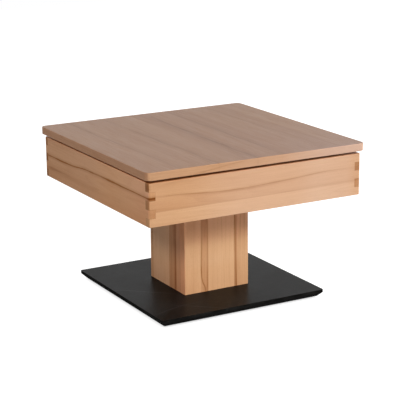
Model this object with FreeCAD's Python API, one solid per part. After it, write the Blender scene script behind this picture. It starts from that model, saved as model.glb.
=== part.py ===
import FreeCAD, Part
import math
import os

os.makedirs("parts", exist_ok=True)

Vec = FreeCAD.Vector
UP = Vec(0, 0, 1)

# Top and the open gap under it, in millimetres. The gap is the height of the turntable bearing.
top_side = 650.0
top_thickness = 21.0
top_corner_radius = 16.0
top_edge_radius = 2.0
top_overhang = 9.0
bearing_height = 8.0

# Box of four finger-jointed boards
box_height = 113.0
board_thickness = 18.0
finger_count = 5
box_corner_radius = 6.0
box_edge_radius = 2.0
hand_recess = 34.0
floor_thickness = 12.0
floor_tongue = 6.0
rail_width = 45.0
rail_height = 24.0
rail_housing = 8.0

# Column
column_side = 200.0
column_board = 18.0
column_reveal = 274.0
column_corner_radius = 3.0
cap_thickness = 10.0
block_side = 30.0

# Base plate and glides
base_side = 500.0
base_thickness = 20.0
base_lip = 8.0
base_corner_radius = 6.0
base_foot_radius = 3.0
base_edge_radius = 0.8
glide_radius = 18.0
glide_height = 5.0
glide_edge = 1.5
glide_inset = 60.0
peg_radius = 5.0
peg_length = 10.0

# Telescopic guide
lift_tube_side = 80.0
tube_wall = 3.0
tube_corner_radius = 6.0
bush_wall = 2.0
bush_depth = 30.0
bush_flange = 4.0
slider_height = 36.0
slider_lip = 4.0
slider_overlap = 6.0
buffer_height = 7.0
flange_thickness = 8.0
mount_plate_side = 280.0
mount_plate_thickness = 5.0
mount_plate_radius = 8.0
mount_screw_inset = 20.0
gusset_height = 18.0
gusset_length = 45.0
gusset_thickness = 4.0
gusset_offset = 24.0
gusset_toe = 5.0

# Gas spring
cylinder_radius = 14.0
cylinder_wall = 2.0
cylinder_end = 4.0
crimp_depth = 0.8
crimp_height = 4.0
crimp_offset = 12.0
boss_radius = 16.0
boss_height = 10.0
stud_radius = 5.0
stud_length = 9.0
rod_radius = 5.0
spigot_radius = 3.0
rod_exposed = 11.0
rod_guide_length = 28.0
piston_length = 14.0
piston_end_gap = 3.0
pin_radius = 2.0
pin_length = 40.0
pin_reach = 8.0
pin_travel = 2.0

# Release head and lever
head_grip = 14.0
head_width = 34.0
head_back = 16.0
pivot_edge = 6.0
pivot_radius = 3.0
lever_bay = 25.0
lever_rise = 5.0
lever_height = 10.0
lever_thickness = 6.0
lever_tail = 7.0
lever_crank = 4.0
crank_run = 20.0
crank_offset = 6.0
lever_bend_radius = 2.5
tang_height = 5.0
tang_length = 22.0
grip_width = 80.0
grip_depth = 28.0
grip_height = 11.0
grip_edge_radius = 3.0
grip_gap = 30.0

# Turntable bearing
bearing_side = 150.0
bearing_corner_radius = 8.0
bearing_sheet = 2.0
bearing_hole_inset = 13.0
race_radius = 52.5
race_width = 15.0
race_gap = 0.8
bearing_bore = 30.0
ball_radius = 3.0
ball_count = 24

# Screws
bolt_radius = 4.0
bolt_head_radius = 8.0
bolt_bite = 32.0
head_screw_radius = 2.5
head_screw_head = 5.0
head_screw_bite = 16.0
wood_screw_radius = 2.0
wood_screw_head = 4.0
cap_screw_bite = 30.0
mount_screw_bite = 9.0
mount_screw_crown = 2.6
rail_screw_bite = 14.0
top_screw_bite = 12.0
ring_screw_crown = 1.6

# Clearances, each on one side
panel_clearance = 0.3
seat_clearance = 0.05
slide_clearance = 0.2
running_clearance = 0.05
free_clearance = 0.3
head_clearance = 1.0
slot_clearance = 0.4
pin_clearance = 0.3
race_clearance = 0.2

# Levels, from the floor upwards
base_top = glide_height + base_thickness
flange_top = base_top + flange_thickness
box_bottom = base_top + column_reveal
box_top = box_bottom + box_height
top_bottom = box_top + bearing_height
top_surface = top_bottom + top_thickness
floor_bottom = box_bottom + hand_recess
floor_top = floor_bottom + floor_thickness
plate_bottom = floor_bottom - mount_plate_thickness
column_top = plate_bottom - lever_bay
cap_bottom = column_top - cap_thickness
lever_bottom = column_top + lever_rise
lever_level = lever_bottom + lever_height / 2
rod_end = lever_bottom - pin_reach
head_bottom = rod_end - head_grip
cylinder_bottom = flange_top + boss_height
cylinder_floor = cylinder_bottom + cylinder_end
cylinder_top = head_bottom - rod_exposed
rod_guide_bottom = cylinder_top - rod_guide_length
piston_bottom = cylinder_floor + piston_end_gap
piston_top = piston_bottom + piston_length
slider_bottom = flange_top + buffer_height
tube_bottom = slider_bottom + slider_lip
lift_stroke = rod_guide_bottom - piston_end_gap - piston_top
race_level = box_top + bearing_height / 2

# Widths that follow from the driving dimensions
box_half = top_side / 2 - top_overhang
box_inside = box_half - board_thickness
floor_half = box_inside + floor_tongue
finger_height = box_height / finger_count
column_half = column_side / 2
column_inside = column_half - column_board
block_centre = column_inside - block_side / 2
base_foot = base_side - 2 * (base_thickness - base_lip)
glide_centre = base_side / 2 - glide_inset
tube_inside = lift_tube_side - 2 * tube_wall
tube_inside_radius = tube_corner_radius - tube_wall
guide_inside = lift_tube_side + 2 * bush_wall
guide_inside_radius = tube_corner_radius + bush_wall
guide_side = guide_inside + 2 * tube_wall
guide_radius = guide_inside_radius + tube_wall
slider_opening = tube_inside - 2 * slider_overlap
head_front = tube_inside / 2 - head_clearance
pivot_offset = head_front - pivot_edge
crank_start = column_half + crank_offset
grip_front = box_inside - grip_gap
grip_back = grip_front - grip_depth
lever_end = grip_back + tang_length
handle_level = lever_level - lever_crank
slot_half = lever_thickness / 2 + slot_clearance
hole_centre = bearing_side / 2 - bearing_hole_inset
mount_hole = mount_plate_side / 2 - mount_screw_inset
cheek_centre = (slot_half + head_width / 2) / 2
head_screw_rows = (head_back / 2, -pivot_offset / 2)


def rounded_square(side, radius, level):
    half = side / 2
    flat = half - radius
    diagonal = flat + radius * math.sqrt(2) / 2
    edges = []
    for quarter in range(4):
        turn = FreeCAD.Rotation(UP, 90 * quarter)
        start = turn.multVec(Vec(half, -flat, level))
        end = turn.multVec(Vec(half, flat, level))
        bend = turn.multVec(Vec(diagonal, diagonal, level))
        after = turn.multVec(Vec(flat, half, level))
        edges.append(Part.LineSegment(start, end).toShape())
        edges.append(Part.Arc(end, bend, after).toShape())
    return Part.Wire(edges)


def prism(side, radius, low, high):
    return Part.Face(rounded_square(side, radius, low)).extrude(Vec(0, 0, high - low))


def block(west, east, south, north, low, high):
    return Part.makeBox(east - west, north - south, high - low, Vec(west, south, low))


def centred_block(half_x, half_y, low, high):
    return block(-half_x, half_x, -half_y, half_y, low, high)


def rod(radius, low, high, x=0, y=0):
    return Part.makeCylinder(radius, high - low, Vec(x, y, low), UP)


def turned(profile, x=0, y=0):
    points = [Vec(radius, 0, level) for radius, level in profile]
    face = Part.Face(Part.makePolygon(points + points[:1]))
    solid = face.revolve(Vec(0, 0, 0), UP, 360)
    solid.translate(Vec(x, y, 0))
    return solid


def soften(shape, radius, *levels):
    edges = []
    for edge in shape.Edges:
        box = edge.BoundBox
        for level in levels:
            if abs(box.ZMin - level) + abs(box.ZMax - level) < radius / 100:
                edges.append(edge)
    return shape.makeFillet(radius, edges)


def corners(half_x, half_y):
    return [(sx * half_x, sy * half_y) for sx in (-1, 1) for sy in (-1, 1)]


def cut_all(shape, tools):
    return shape.cut(Part.makeCompound(tools)) if tools else shape


def countersunk(x, y, head_level, tip_level, radius, head_radius, spare=0):
    # Flat head at head_level, point at tip_level; spare widens the shape into the hole it sits in.
    into = 1 if tip_level > head_level else -1
    neck = head_level + into * (head_radius - radius)
    return turned([(0, head_level), (head_radius + spare, head_level), (radius + spare, neck),
                   (radius + spare, tip_level), (0, tip_level)], x, y)


def pan_screw(x, y, seat_level, tip_level, radius, head_radius, crown):
    into = 1 if tip_level > seat_level else -1
    outer = seat_level - into * crown
    shoulder = seat_level - into * crown / 2
    return turned([(0, outer), (head_radius / 2, outer), (head_radius, shoulder), (head_radius, seat_level),
                   (radius, seat_level), (radius, tip_level), (0, tip_level)], x, y)


def pilot(x, y, radius, low, high, spare):
    return rod(radius + spare, low, high, x, y)


def base_plate():
    lip_bottom = base_top - base_lip
    foot = rounded_square(base_foot, base_foot_radius, glide_height)
    shoulder = rounded_square(base_side, base_corner_radius, lip_bottom)
    bevel = Part.makeLoft([foot, shoulder], True, True)
    plate = bevel.fuse(prism(base_side, base_corner_radius, lip_bottom, base_top)).removeSplitter()
    plate = soften(plate, base_edge_radius, base_top)
    tools = []
    for x, y in corners(glide_centre, glide_centre):
        tools.append(pilot(x, y, peg_radius, glide_height, glide_height + peg_length, seat_clearance))
    for x, y in corners(block_centre, block_centre):
        tools.append(countersunk(x, y, glide_height, base_top, bolt_radius, bolt_head_radius, free_clearance))
    return cut_all(plate, tools)


def floor_glides():
    glides = []
    for x, y in corners(glide_centre, glide_centre):
        glides.append(turned([(0, 0), (glide_radius - glide_edge, 0), (glide_radius, glide_edge),
                              (glide_radius, glide_height), (peg_radius, glide_height),
                              (peg_radius, glide_height + peg_length), (0, glide_height + peg_length)], x, y))
    return Part.makeCompound(glides)


def column_boards():
    # Front board first, then right, back and left; each ends in a mitre at 45 degrees.
    outline = prism(column_side, column_corner_radius, base_top, column_top)
    trapezoid = [Vec(-column_half, -column_half, base_top), Vec(column_half, -column_half, base_top),
                 Vec(column_inside, -column_inside, base_top), Vec(-column_inside, -column_inside, base_top)]
    front = Part.Face(Part.makePolygon(trapezoid + trapezoid[:1])).extrude(Vec(0, 0, column_top - base_top))
    boards = {}
    for quarter, name in enumerate(("front", "right", "back", "left")):
        board = front.copy()
        board.rotate(Vec(0, 0, 0), UP, 90 * quarter)
        boards["column_" + name + "_board"] = outline.common(board)
    return boards


def column_corner_blocks():
    blocks = []
    half = block_side / 2
    for x, y in corners(block_centre, block_centre):
        post = block(x - half, x + half, y - half, y + half, flange_top, cap_bottom)
        bolt_hole = pilot(x, y, bolt_radius, flange_top, flange_top + bolt_bite, seat_clearance)
        screw_hole = pilot(x, y, wood_screw_radius, column_top - cap_screw_bite, cap_bottom, seat_clearance)
        blocks.append(cut_all(post, [bolt_hole, screw_hole]))
    return Part.makeCompound(blocks)


def column_cap():
    half = column_inside - panel_clearance
    cap = centred_block(half, half, cap_bottom, column_top)
    tools = [prism(guide_side + 2 * panel_clearance, guide_radius + panel_clearance, cap_bottom, column_top)]
    for x, y in corners(block_centre, block_centre):
        tools.append(countersunk(x, y, column_top, cap_bottom, wood_screw_radius, wood_screw_head,
                                 seat_clearance))
    return cut_all(cap, tools)


def cap_screws():
    tip = column_top - cap_screw_bite
    return Part.makeCompound([countersunk(x, y, column_top, tip, wood_screw_radius, wood_screw_head)
                              for x, y in corners(block_centre, block_centre)])


def base_flange():
    half = column_inside - panel_clearance
    plate = centred_block(half, half, base_top, flange_top)
    plate = plate.fuse(rod(boss_radius, flange_top, cylinder_bottom)).removeSplitter()
    tools = [pilot(0, 0, stud_radius, cylinder_bottom - boss_height, cylinder_bottom, seat_clearance)]
    for x, y in corners(block_centre, block_centre):
        tools.append(pilot(x, y, bolt_radius, base_top, flange_top, free_clearance))
    return cut_all(plate, tools)


def base_bolts():
    tip = flange_top + bolt_bite
    return Part.makeCompound([countersunk(x, y, glide_height, tip, bolt_radius, bolt_head_radius)
                              for x, y in corners(block_centre, block_centre)])


def guide_tube():
    inner = prism(guide_inside, guide_inside_radius, flange_top, cap_bottom)
    return prism(guide_side, guide_radius, flange_top, cap_bottom).cut(inner)


def guide_bush():
    insert_side = guide_inside - 2 * seat_clearance
    insert_radius = guide_inside_radius - seat_clearance
    bush = prism(insert_side, insert_radius, cap_bottom - bush_depth, cap_bottom)
    bush = bush.fuse(prism(guide_side, guide_radius, cap_bottom, cap_bottom + bush_flange))
    opening = prism(lift_tube_side + 2 * slide_clearance, tube_corner_radius + slide_clearance,
                    cap_bottom - bush_depth, cap_bottom + bush_flange)
    return bush.cut(opening)


def stop_buffer():
    outer = prism(guide_inside - 2 * free_clearance, guide_inside_radius - free_clearance, flange_top,
                  slider_bottom)
    return outer.cut(prism(slider_opening, tube_inside_radius, flange_top, slider_bottom))


def gas_spring_cylinder():
    # A rolled groove near the mouth holds the rod guide.
    bore = cylinder_radius - cylinder_wall
    crimp_top = cylinder_top - crimp_offset
    return turned([(0, cylinder_bottom - stud_length), (stud_radius, cylinder_bottom - stud_length),
                   (stud_radius, cylinder_bottom), (cylinder_radius, cylinder_bottom),
                   (cylinder_radius, crimp_top - crimp_height),
                   (cylinder_radius - crimp_depth, crimp_top - crimp_height / 2), (cylinder_radius, crimp_top),
                   (cylinder_radius, cylinder_top), (bore, cylinder_top), (bore, cylinder_floor),
                   (0, cylinder_floor)])


def gas_spring_rod_guide():
    bore = cylinder_radius - cylinder_wall - seat_clearance
    plug = rod(bore, rod_guide_bottom, cylinder_top)
    return plug.cut(rod(rod_radius + running_clearance, rod_guide_bottom, cylinder_top))


def gas_spring_rod():
    bore = pin_radius + running_clearance
    bore_floor = rod_end + pin_reach - pin_length - 2 * pin_travel
    return turned([(0, piston_bottom), (spigot_radius, piston_bottom), (spigot_radius, piston_top),
                   (rod_radius, piston_top), (rod_radius, rod_end), (bore, rod_end), (bore, bore_floor),
                   (0, bore_floor)])


def gas_spring_piston():
    piston = rod(cylinder_radius - cylinder_wall - free_clearance, piston_bottom, piston_top)
    return piston.cut(rod(spigot_radius + seat_clearance, piston_bottom, piston_top))


def release_pin():
    tip = lever_bottom - pin_clearance
    return rod(pin_radius, tip - pin_length, tip)


def lift_tube():
    tube = prism(lift_tube_side, tube_corner_radius, tube_bottom, plate_bottom)
    tube = tube.cut(prism(tube_inside, tube_inside_radius, tube_bottom, plate_bottom))
    slot_bottom = lever_bottom - lever_rise
    slot = block(-slot_half, slot_half, -lift_tube_side / 2, -tube_inside / 2, slot_bottom, plate_bottom)
    return tube.cut(slot)


def lift_slider():
    outer_side = guide_inside - 2 * slide_clearance
    outer_radius = guide_inside_radius - slide_clearance
    shoe = prism(outer_side, outer_radius, slider_bottom, slider_bottom + slider_height)
    pocket = prism(lift_tube_side + 2 * seat_clearance, tube_corner_radius + seat_clearance, tube_bottom,
                   slider_bottom + slider_height)
    mouth = prism(slider_opening, tube_inside_radius, slider_bottom, tube_bottom)
    return cut_all(shoe, [pocket, mouth])


def mount_places():
    return [(sx * mount_hole, row * mount_hole) for sx in (-1, 1) for row in (-1, 0, 1)]


def head_screw_places():
    return [(sx * cheek_centre, y) for sx in (-1, 1) for y in head_screw_rows]


def mount_plate():
    plate = prism(mount_plate_side, mount_plate_radius, plate_bottom, floor_bottom)
    tools = [pilot(x, y, wood_screw_radius, plate_bottom, floor_bottom, free_clearance)
             for x, y in mount_places()]
    for x, y in head_screw_places():
        tools.append(countersunk(x, y, floor_bottom, plate_bottom, head_screw_radius, head_screw_head,
                                 seat_clearance))
    return cut_all(plate, tools)


def mount_screws():
    tip = floor_bottom + mount_screw_bite
    return Part.makeCompound([pan_screw(x, y, plate_bottom, tip, wood_screw_radius, wood_screw_head,
                                        mount_screw_crown) for x, y in mount_places()])


def mount_gussets():
    # Two welded ribs on each side of the lift tube, under the mount plate.
    face = lift_tube_side / 2
    tip = face + gusset_length
    low = plate_bottom - gusset_height
    outline = [(face, plate_bottom), (tip, plate_bottom), (tip, plate_bottom - gusset_toe),
               (face + gusset_toe, low), (face, low)]
    gussets = []
    for quarter in range(4):
        for side in (-1, 1):
            near = side * gusset_offset - gusset_thickness / 2
            points = [Vec(x, near, z) for x, z in outline]
            rib = Part.Face(Part.makePolygon(points + points[:1])).extrude(Vec(0, gusset_thickness, 0))
            rib.rotate(Vec(0, 0, 0), UP, 90 * quarter)
            gussets.append(rib)
    return Part.makeCompound(gussets)


def release_head():
    half = head_width / 2
    outline = [Vec(-half, -head_front, plate_bottom), Vec(-half, head_back, plate_bottom),
               Vec(-half, head_back, head_bottom), Vec(-half, -head_grip, head_bottom),
               Vec(-half, -head_grip, rod_end), Vec(-half, -head_front, lever_bottom - lever_rise)]
    body = Part.Face(Part.makePolygon(outline + outline[:1])).extrude(Vec(head_width, 0, 0))
    slot = block(-slot_half, slot_half, -head_front, head_back, rod_end, plate_bottom)
    pivot_hole = Part.makeCylinder(pivot_radius + seat_clearance, head_width,
                                   Vec(-half, -pivot_offset, lever_level), Vec(1, 0, 0))
    tools = [slot, pivot_hole, pilot(0, 0, rod_radius, head_bottom, rod_end, seat_clearance)]
    for x, y in head_screw_places():
        tools.append(pilot(x, y, head_screw_radius, floor_bottom - head_screw_bite, plate_bottom,
                           seat_clearance))
    return cut_all(body, tools)


def head_screws():
    tip = floor_bottom - head_screw_bite
    return Part.makeCompound([countersunk(x, y, floor_bottom, tip, head_screw_radius, head_screw_head)
                              for x, y in head_screw_places()])


def lever_pivot():
    start = Vec(-head_width / 2, -pivot_offset, lever_level)
    return Part.makeCylinder(pivot_radius, head_width, start, Vec(1, 0, 0))


def release_lever():
    half = lever_height / 2
    left = -lever_thickness / 2
    crank_end = crank_start + crank_run
    outline = [(lever_tail, lever_level + half), (-crank_start, lever_level + half),
               (-crank_end, handle_level + half), (-grip_back, handle_level + half),
               (-grip_back, handle_level + tang_height / 2), (-lever_end, handle_level + tang_height / 2),
               (-lever_end, handle_level - tang_height / 2), (-grip_back, handle_level - tang_height / 2),
               (-grip_back, handle_level - half), (-crank_end, handle_level - half),
               (-crank_start, lever_level - half), (lever_tail, lever_level - half)]
    points = [Vec(left, y, z) for y, z in outline]
    bar = Part.Face(Part.makePolygon(points + points[:1])).extrude(Vec(lever_thickness, 0, 0))
    bends = [edge for edge in bar.Edges
             if edge.BoundBox.XLength > lever_thickness / 2 and edge.BoundBox.YMin > -grip_back + lever_height]
    bar = bar.makeFillet(lever_bend_radius, bends)
    hole = Part.makeCylinder(pivot_radius + running_clearance, lever_thickness,
                             Vec(left, -pivot_offset, lever_level), Vec(1, 0, 0))
    return bar.cut(hole)


def lever_grip():
    half = grip_height / 2
    body = block(-grip_width / 2, grip_width / 2, -grip_front, -grip_back, handle_level - half,
                 handle_level + half)
    body = body.makeFillet(grip_edge_radius, body.Edges)
    side = lever_thickness / 2 + seat_clearance
    rise = tang_height / 2 + seat_clearance
    pocket = block(-side, side, -lever_end - seat_clearance, -grip_back, handle_level - rise,
                   handle_level + rise)
    return body.cut(pocket)


def box_boards():
    # Counted from the lower edge, the front and back boards own every first finger, the sides every second.
    outline = prism(2 * box_half, box_corner_radius, box_bottom, box_top)
    outline = soften(outline, box_edge_radius, box_bottom, box_top)
    groove_half = floor_half + panel_clearance
    groove = centred_block(groove_half, groove_half, floor_bottom, floor_top + panel_clearance)
    boards = {}
    for quarter, name in enumerate(("front", "right", "back", "left")):
        plank = block(-box_half, box_half, -box_half, -box_inside, box_bottom, box_top)
        given_up = (quarter + 1) % 2
        notches = []
        for index in range(finger_count):
            if index % 2 == given_up:
                low = box_bottom + index * finger_height
                high = low + finger_height
                notches.append(block(-box_half, -box_inside, -box_half, -box_inside, low, high))
                notches.append(block(box_inside, box_half, -box_half, -box_inside, low, high))
        plank = cut_all(plank, notches)
        plank.rotate(Vec(0, 0, 0), UP, 90 * quarter)
        boards["box_" + name + "_board"] = outline.common(plank).cut(groove)
    depth = box_inside + rail_housing
    for name in ("box_front_board", "box_back_board"):
        housings = []
        for side in (-1, 1):
            centre = side * hole_centre
            reach = rail_width / 2 + seat_clearance
            housings.append(block(centre - reach, centre + reach, -depth, depth, box_top - rail_height,
                                  box_top))
        boards[name] = cut_all(boards[name], housings)
    return boards


def box_floor():
    panel = centred_block(floor_half, floor_half, floor_bottom, floor_top)
    tip = floor_bottom + mount_screw_bite
    holes = [pilot(x, y, wood_screw_radius, floor_bottom, tip, seat_clearance) for x, y in mount_places()]
    return cut_all(panel, holes)


def bearing_rails():
    rails = []
    depth = box_inside + rail_housing
    for side in (-1, 1):
        centre = side * hole_centre
        half = rail_width / 2
        rail = block(centre - half, centre + half, -depth, depth, box_top - rail_height, box_top)
        holes = [pilot(centre, row * hole_centre, wood_screw_radius, box_top - rail_screw_bite, box_top,
                       seat_clearance) for row in (-1, 1)]
        rails.append(cut_all(rail, holes))
    return Part.makeCompound(rails)


def bearing_plate():
    # Lower half of the turntable bearing; the upper half is its mirror image.
    sheet_top = box_top + bearing_sheet
    race_top = race_level - race_gap / 2
    sheet = prism(bearing_side, bearing_corner_radius, box_top, sheet_top)
    sheet = sheet.fuse(rod(race_radius + race_width / 2, box_top, race_top)).removeSplitter()
    tools = [rod(bearing_bore, box_top, race_top), rod(race_radius - race_width / 2, sheet_top, race_top),
             Part.makeTorus(race_radius, ball_radius + race_clearance, Vec(0, 0, race_level), UP)]
    for x, y in corners(hole_centre, hole_centre):
        tools.append(pilot(x, y, wood_screw_radius, box_top, sheet_top, seat_clearance))
    return cut_all(sheet, tools)


def ring_screws():
    seat = box_top + bearing_sheet
    tip = box_top - rail_screw_bite
    return Part.makeCompound([pan_screw(x, y, seat, tip, wood_screw_radius, wood_screw_head, ring_screw_crown)
                              for x, y in corners(hole_centre, hole_centre)])


def top_screws():
    seat = top_bottom - bearing_sheet
    tip = top_bottom + top_screw_bite
    return Part.makeCompound([pan_screw(x, y, seat, tip, wood_screw_radius, wood_screw_head, ring_screw_crown)
                              for x, y in corners(hole_centre, hole_centre)])


def bearing_balls():
    balls = []
    for index in range(ball_count):
        angle = 2 * math.pi * index / ball_count
        place = Vec(race_radius * math.cos(angle), race_radius * math.sin(angle), race_level)
        balls.append(Part.makeSphere(ball_radius, place))
    return Part.makeCompound(balls)


def table_top():
    slab = prism(top_side, top_corner_radius, top_bottom, top_surface)
    slab = soften(slab, top_edge_radius, top_bottom, top_surface)
    tip = top_bottom + top_screw_bite
    holes = [pilot(x, y, wood_screw_radius, top_bottom, tip, seat_clearance)
             for x, y in corners(hole_centre, hole_centre)]
    return cut_all(slab, holes)


nodes = {
    "base_plate": base_plate(),
    "floor_glides": floor_glides(),
    "column_corner_blocks": column_corner_blocks(),
    "column_cap": column_cap(),
    "cap_screws": cap_screws(),
    "base_flange": base_flange(),
    "base_bolts": base_bolts(),
    "guide_tube": guide_tube(),
    "guide_bush": guide_bush(),
    "stop_buffer": stop_buffer(),
    "gas_spring_cylinder": gas_spring_cylinder(),
    "gas_spring_rod_guide": gas_spring_rod_guide(),
    "gas_spring_rod": gas_spring_rod(),
    "gas_spring_piston": gas_spring_piston(),
    "release_pin": release_pin(),
    "lift_tube": lift_tube(),
    "lift_slider": lift_slider(),
    "mount_plate": mount_plate(),
    "mount_gussets": mount_gussets(),
    "mount_screws": mount_screws(),
    "release_head": release_head(),
    "head_screws": head_screws(),
    "lever_pivot": lever_pivot(),
    "release_lever": release_lever(),
    "lever_grip": lever_grip(),
    "box_floor": box_floor(),
    "bearing_rails": bearing_rails(),
    "bearing_lower_plate": bearing_plate(),
    "bearing_upper_plate": bearing_plate().mirror(Vec(0, 0, race_level), UP),
    "lower_plate_screws": ring_screws(),
    "upper_plate_screws": top_screws(),
    "bearing_balls": bearing_balls(),
    "table_top": table_top(),
}
nodes.update(column_boards())
nodes.update(box_boards())

for name, shape in nodes.items():
    shape.exportStep("parts/" + name + ".step")
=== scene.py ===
import bpy
import numpy as np
from bpy.props import FloatProperty, FloatVectorProperty, IntProperty, PointerProperty
from mathutils import Matrix, Vector


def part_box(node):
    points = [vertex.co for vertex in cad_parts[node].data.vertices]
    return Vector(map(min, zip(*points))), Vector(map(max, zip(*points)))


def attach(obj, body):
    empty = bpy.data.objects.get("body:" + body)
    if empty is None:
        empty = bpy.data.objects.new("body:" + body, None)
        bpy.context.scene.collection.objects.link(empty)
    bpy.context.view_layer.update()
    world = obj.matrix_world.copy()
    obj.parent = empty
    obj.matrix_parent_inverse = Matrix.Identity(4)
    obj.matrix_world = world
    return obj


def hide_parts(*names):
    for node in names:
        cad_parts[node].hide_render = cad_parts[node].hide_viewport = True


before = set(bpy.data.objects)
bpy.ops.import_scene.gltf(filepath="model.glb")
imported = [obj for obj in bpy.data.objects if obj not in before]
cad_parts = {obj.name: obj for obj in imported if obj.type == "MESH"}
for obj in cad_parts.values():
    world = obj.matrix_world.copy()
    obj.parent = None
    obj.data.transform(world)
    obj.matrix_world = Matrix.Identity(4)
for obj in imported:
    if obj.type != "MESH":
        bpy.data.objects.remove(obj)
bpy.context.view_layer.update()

bl_info = {
    "name": "Adjustable coffee table",
    "version": (1, 0, 0),
    "blender": (4, 5, 0),
    "location": "View3D > Sidebar > Coffee table",
    "description": "Finishes, fasteners, weld beads and lever grip of a coffee table that lifts and turns",
    "category": "Object",
}

AXIS = {"X": 0, "Y": 1, "Z": 2}

# Waves per metre of the wood's noises: along the grain, across it and through the board.
RING_WAVES = (0.9, 17.0, 17.0)
FIBRE_WAVES = (12.0, 520.0, 520.0)
FLECK_WAVES = (170.0, 1250.0, 1250.0)
DRIFT_WAVES = (1.5, 24.0, 24.0)
HEART_WAVES = (0.55, 12.0, 9.0)
PORE_WAVES = (40.0, 2300.0, 2300.0)
RINGS = 17.0                    # growth rings over the whole range of their noise
HEART_RIM = 0.562               # value of the heart's noise at the dark rim of a patch
DRIFT_TONE = 0.55               # tone from the darkest to the lightest drift
SEED_SHIFT = (17.3, 5.1, 8.7)   # metres that one unit of seed moves a board within the noises

# Shares of the wood's colour that late wood, dark fibres, ray flecks and the pores of end grain keep.
LATE_SHADE = (0.87, 0.80, 0.74, 1.0)
FIBRE_SHADE = (0.90, 0.85, 0.80, 1.0)
FLECK_SHADE = (0.70, 0.58, 0.48, 1.0)
PORE_SHADE = (0.34, 0.24, 0.16, 1.0)

# Limits of the normal's parts between which a face of a board turns into another kind of face.
END_FACING = (0.60, 0.80)   # from long grain to end grain, by the part along the grain
# A rounded rim gets a painted highlight, brighter than the faces.
RIM_HIGHLIGHT_BEND = (0.05, 0.45)     # from a flat face to a rounded rim, by the product of two parts
LEVEL_FACING = (0.5, 0.9)   # from an upright face to a level one, by the upright part
# A face in the gap under the top gets painted shade.
GAP_SHADE_FACING = (0.6, 0.95)    # the same for a face in the gap under the top
UPRIGHT_ROUGH = 0.20        # roughness that upright faces have beyond level ones

# Waves of a heart line's sway, swell and breaks: for each metre along it, and for each unit of seed.
SWAY_WAVES = (7.0, 9.1, 1.0)
SWELL_WAVES = (13.0, 5.3, 1.0)
BREAK_WAVES = (10.0, 3.7, 1.0)

CLOUD_WAVES = (23.0, 23.0, 23.0)    # waves per metre of the clouds in a speckled finish
FINISH_GIVES = {"Color": "Color", "Roughness": "Float", "Height": "Float"}

FINGERS = 5             # fingers at a corner of the box
LEVEL_SEAM = (0.0002, 0.0008)   # distances over which a seam between two fingers fades
WALL_SEAM = (0.0003, 0.0010)    # the same for a seam at the end of a finger
SEAM_DARKNESS = 0.32    # strength of those seams against a heart line
EDGE_LINES = 0.25       # share of a board's heart lines that shows on the strips over its ends
PLY = 0.0013            # thickness of a ply of the box floor
SLATE_REACH = 0.30      # distance from the middle of the base plate to both ends of its veins' tracks
FELT_TOP = 0.0019       # level at which a glide's felt starts to give way to plastic

SCREW_STEPS = 30        # points round a screw
THREAD_ROWS = 5.0       # rows of points for each turn of a thread
SOCKET_BEVEL = 0.0002   # bevel at the mouth of a drive socket
HEAD_BEVEL = 0.0003     # bevel at the rim of a countersunk head
SOCKET_HEAD = 0.004     # head radius for which the wood screws' socket radius is given

TUBE_CORNER = 0.006     # corner radius of both tubes
BEAD_ROOT = 0.12        # share of its leg by which a bead reaches behind the corner it fills
BEAD_TAIL = 0.12        # share of its leg that a bead keeps at its ends
GUSSET_OFFSET = 0.024   # distance of a gusset's middle from the tube's axis
GUSSET_HALF = 0.002     # half the thickness of a gusset
GUSSET_ROOM = (0.004, 0.001)    # room that a gusset's beads leave at the tube and at the gusset's tip
GUSSET_ROWS = 60        # sections along a gusset's bead
TUBE_ROWS = 420         # sections along the bead round a tube
LEVER_GAP = 0.008       # half the gap that the lever leaves in the lift tube's bead
GRIP_RINGS = 159        # sections along the grip
GRIP_STEPS = 64         # points round a section
GRIP_RIBBED = 0.80      # share of the grip's length that has ribs

LAMP_DISTANCE = 5.0     # lamps to the point that they look at
LAMP_AIM = 0.25         # height of that point
FLOOR_REACH = 6.0       # half the side of the floor
SENSOR = 36.0           # width of the camera's sensor in millimetres
FOOT_SHADE = (0.226, 0.253)     # distances from the middle between which the floor's glow rises to full
WHITE = (1.0, 1.0, 1.0)


def tint(name, description, default):
    """A colour that a user may change."""
    return FloatVectorProperty(name=name, description=description, default=default,
                               subtype="COLOR", size=3, min=0.0, max=1.0)


def length(name, description, default):
    """A length in metres that a user may change."""
    return FloatProperty(name=name, description=description, default=default,
                         subtype="DISTANCE", unit="LENGTH", min=0.0)


def share(name, description, default, most=1.0):
    """A plain number from nought upwards that a user may change."""
    return FloatProperty(name=name, description=description, default=default, min=0.0, max=most)


def turn(name, description, default):
    """An angle that a user may change."""
    return FloatProperty(name=name, description=description, default=float(np.radians(default)),
                         subtype="ANGLE", unit="ROTATION")


class BeechFinish(bpy.types.PropertyGroup):
    """Colours and gloss of the oiled core beech."""
    pale: tint("Sapwood", "Lightest beech", (0.775, 0.472, 0.262))
    brown: tint("Brown wood", "Darkest plain beech", (0.488, 0.218, 0.090))
    heart: tint("Red heart", "Share of the wood's colour that broad red heart keeps", (0.66, 0.45, 0.34))
    # Painted sheen: a paler, pinkish colour towards one end of a board that stands in for a lamp's
    # reflection.
    bloom: tint("Bloom", "Paler, pinkish wood towards one end of a board", (0.78, 0.59, 0.50))
    # Painted highlight: rounded edges are made brighter than the faces, standing in for the gloss they catch.
    rim: share("Rim", "Brightness of sanded, rounded edges against the faces", 1.16, 2.0)
    # Painted shade: the faces in the gap under the top keep only this share of their colour, darker and
    # redder.
    gap: tint("Gap", "Share of the wood's colour that the unsanded faces in the gap keep", (0.95, 0.74, 0.55))
    line: tint("Heart line", "Share of the wood's colour that a dark heart line keeps", (0.41, 0.23, 0.03))
    end_shade: tint("End grain", "Share of the wood's colour that end grain keeps", (0.54, 0.445, 0.365))
    gloss: share("Gloss", "Specular level of the oil finish", 0.18)
    relief: length("Relief", "Height of the open grain", 0.0003)


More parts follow.
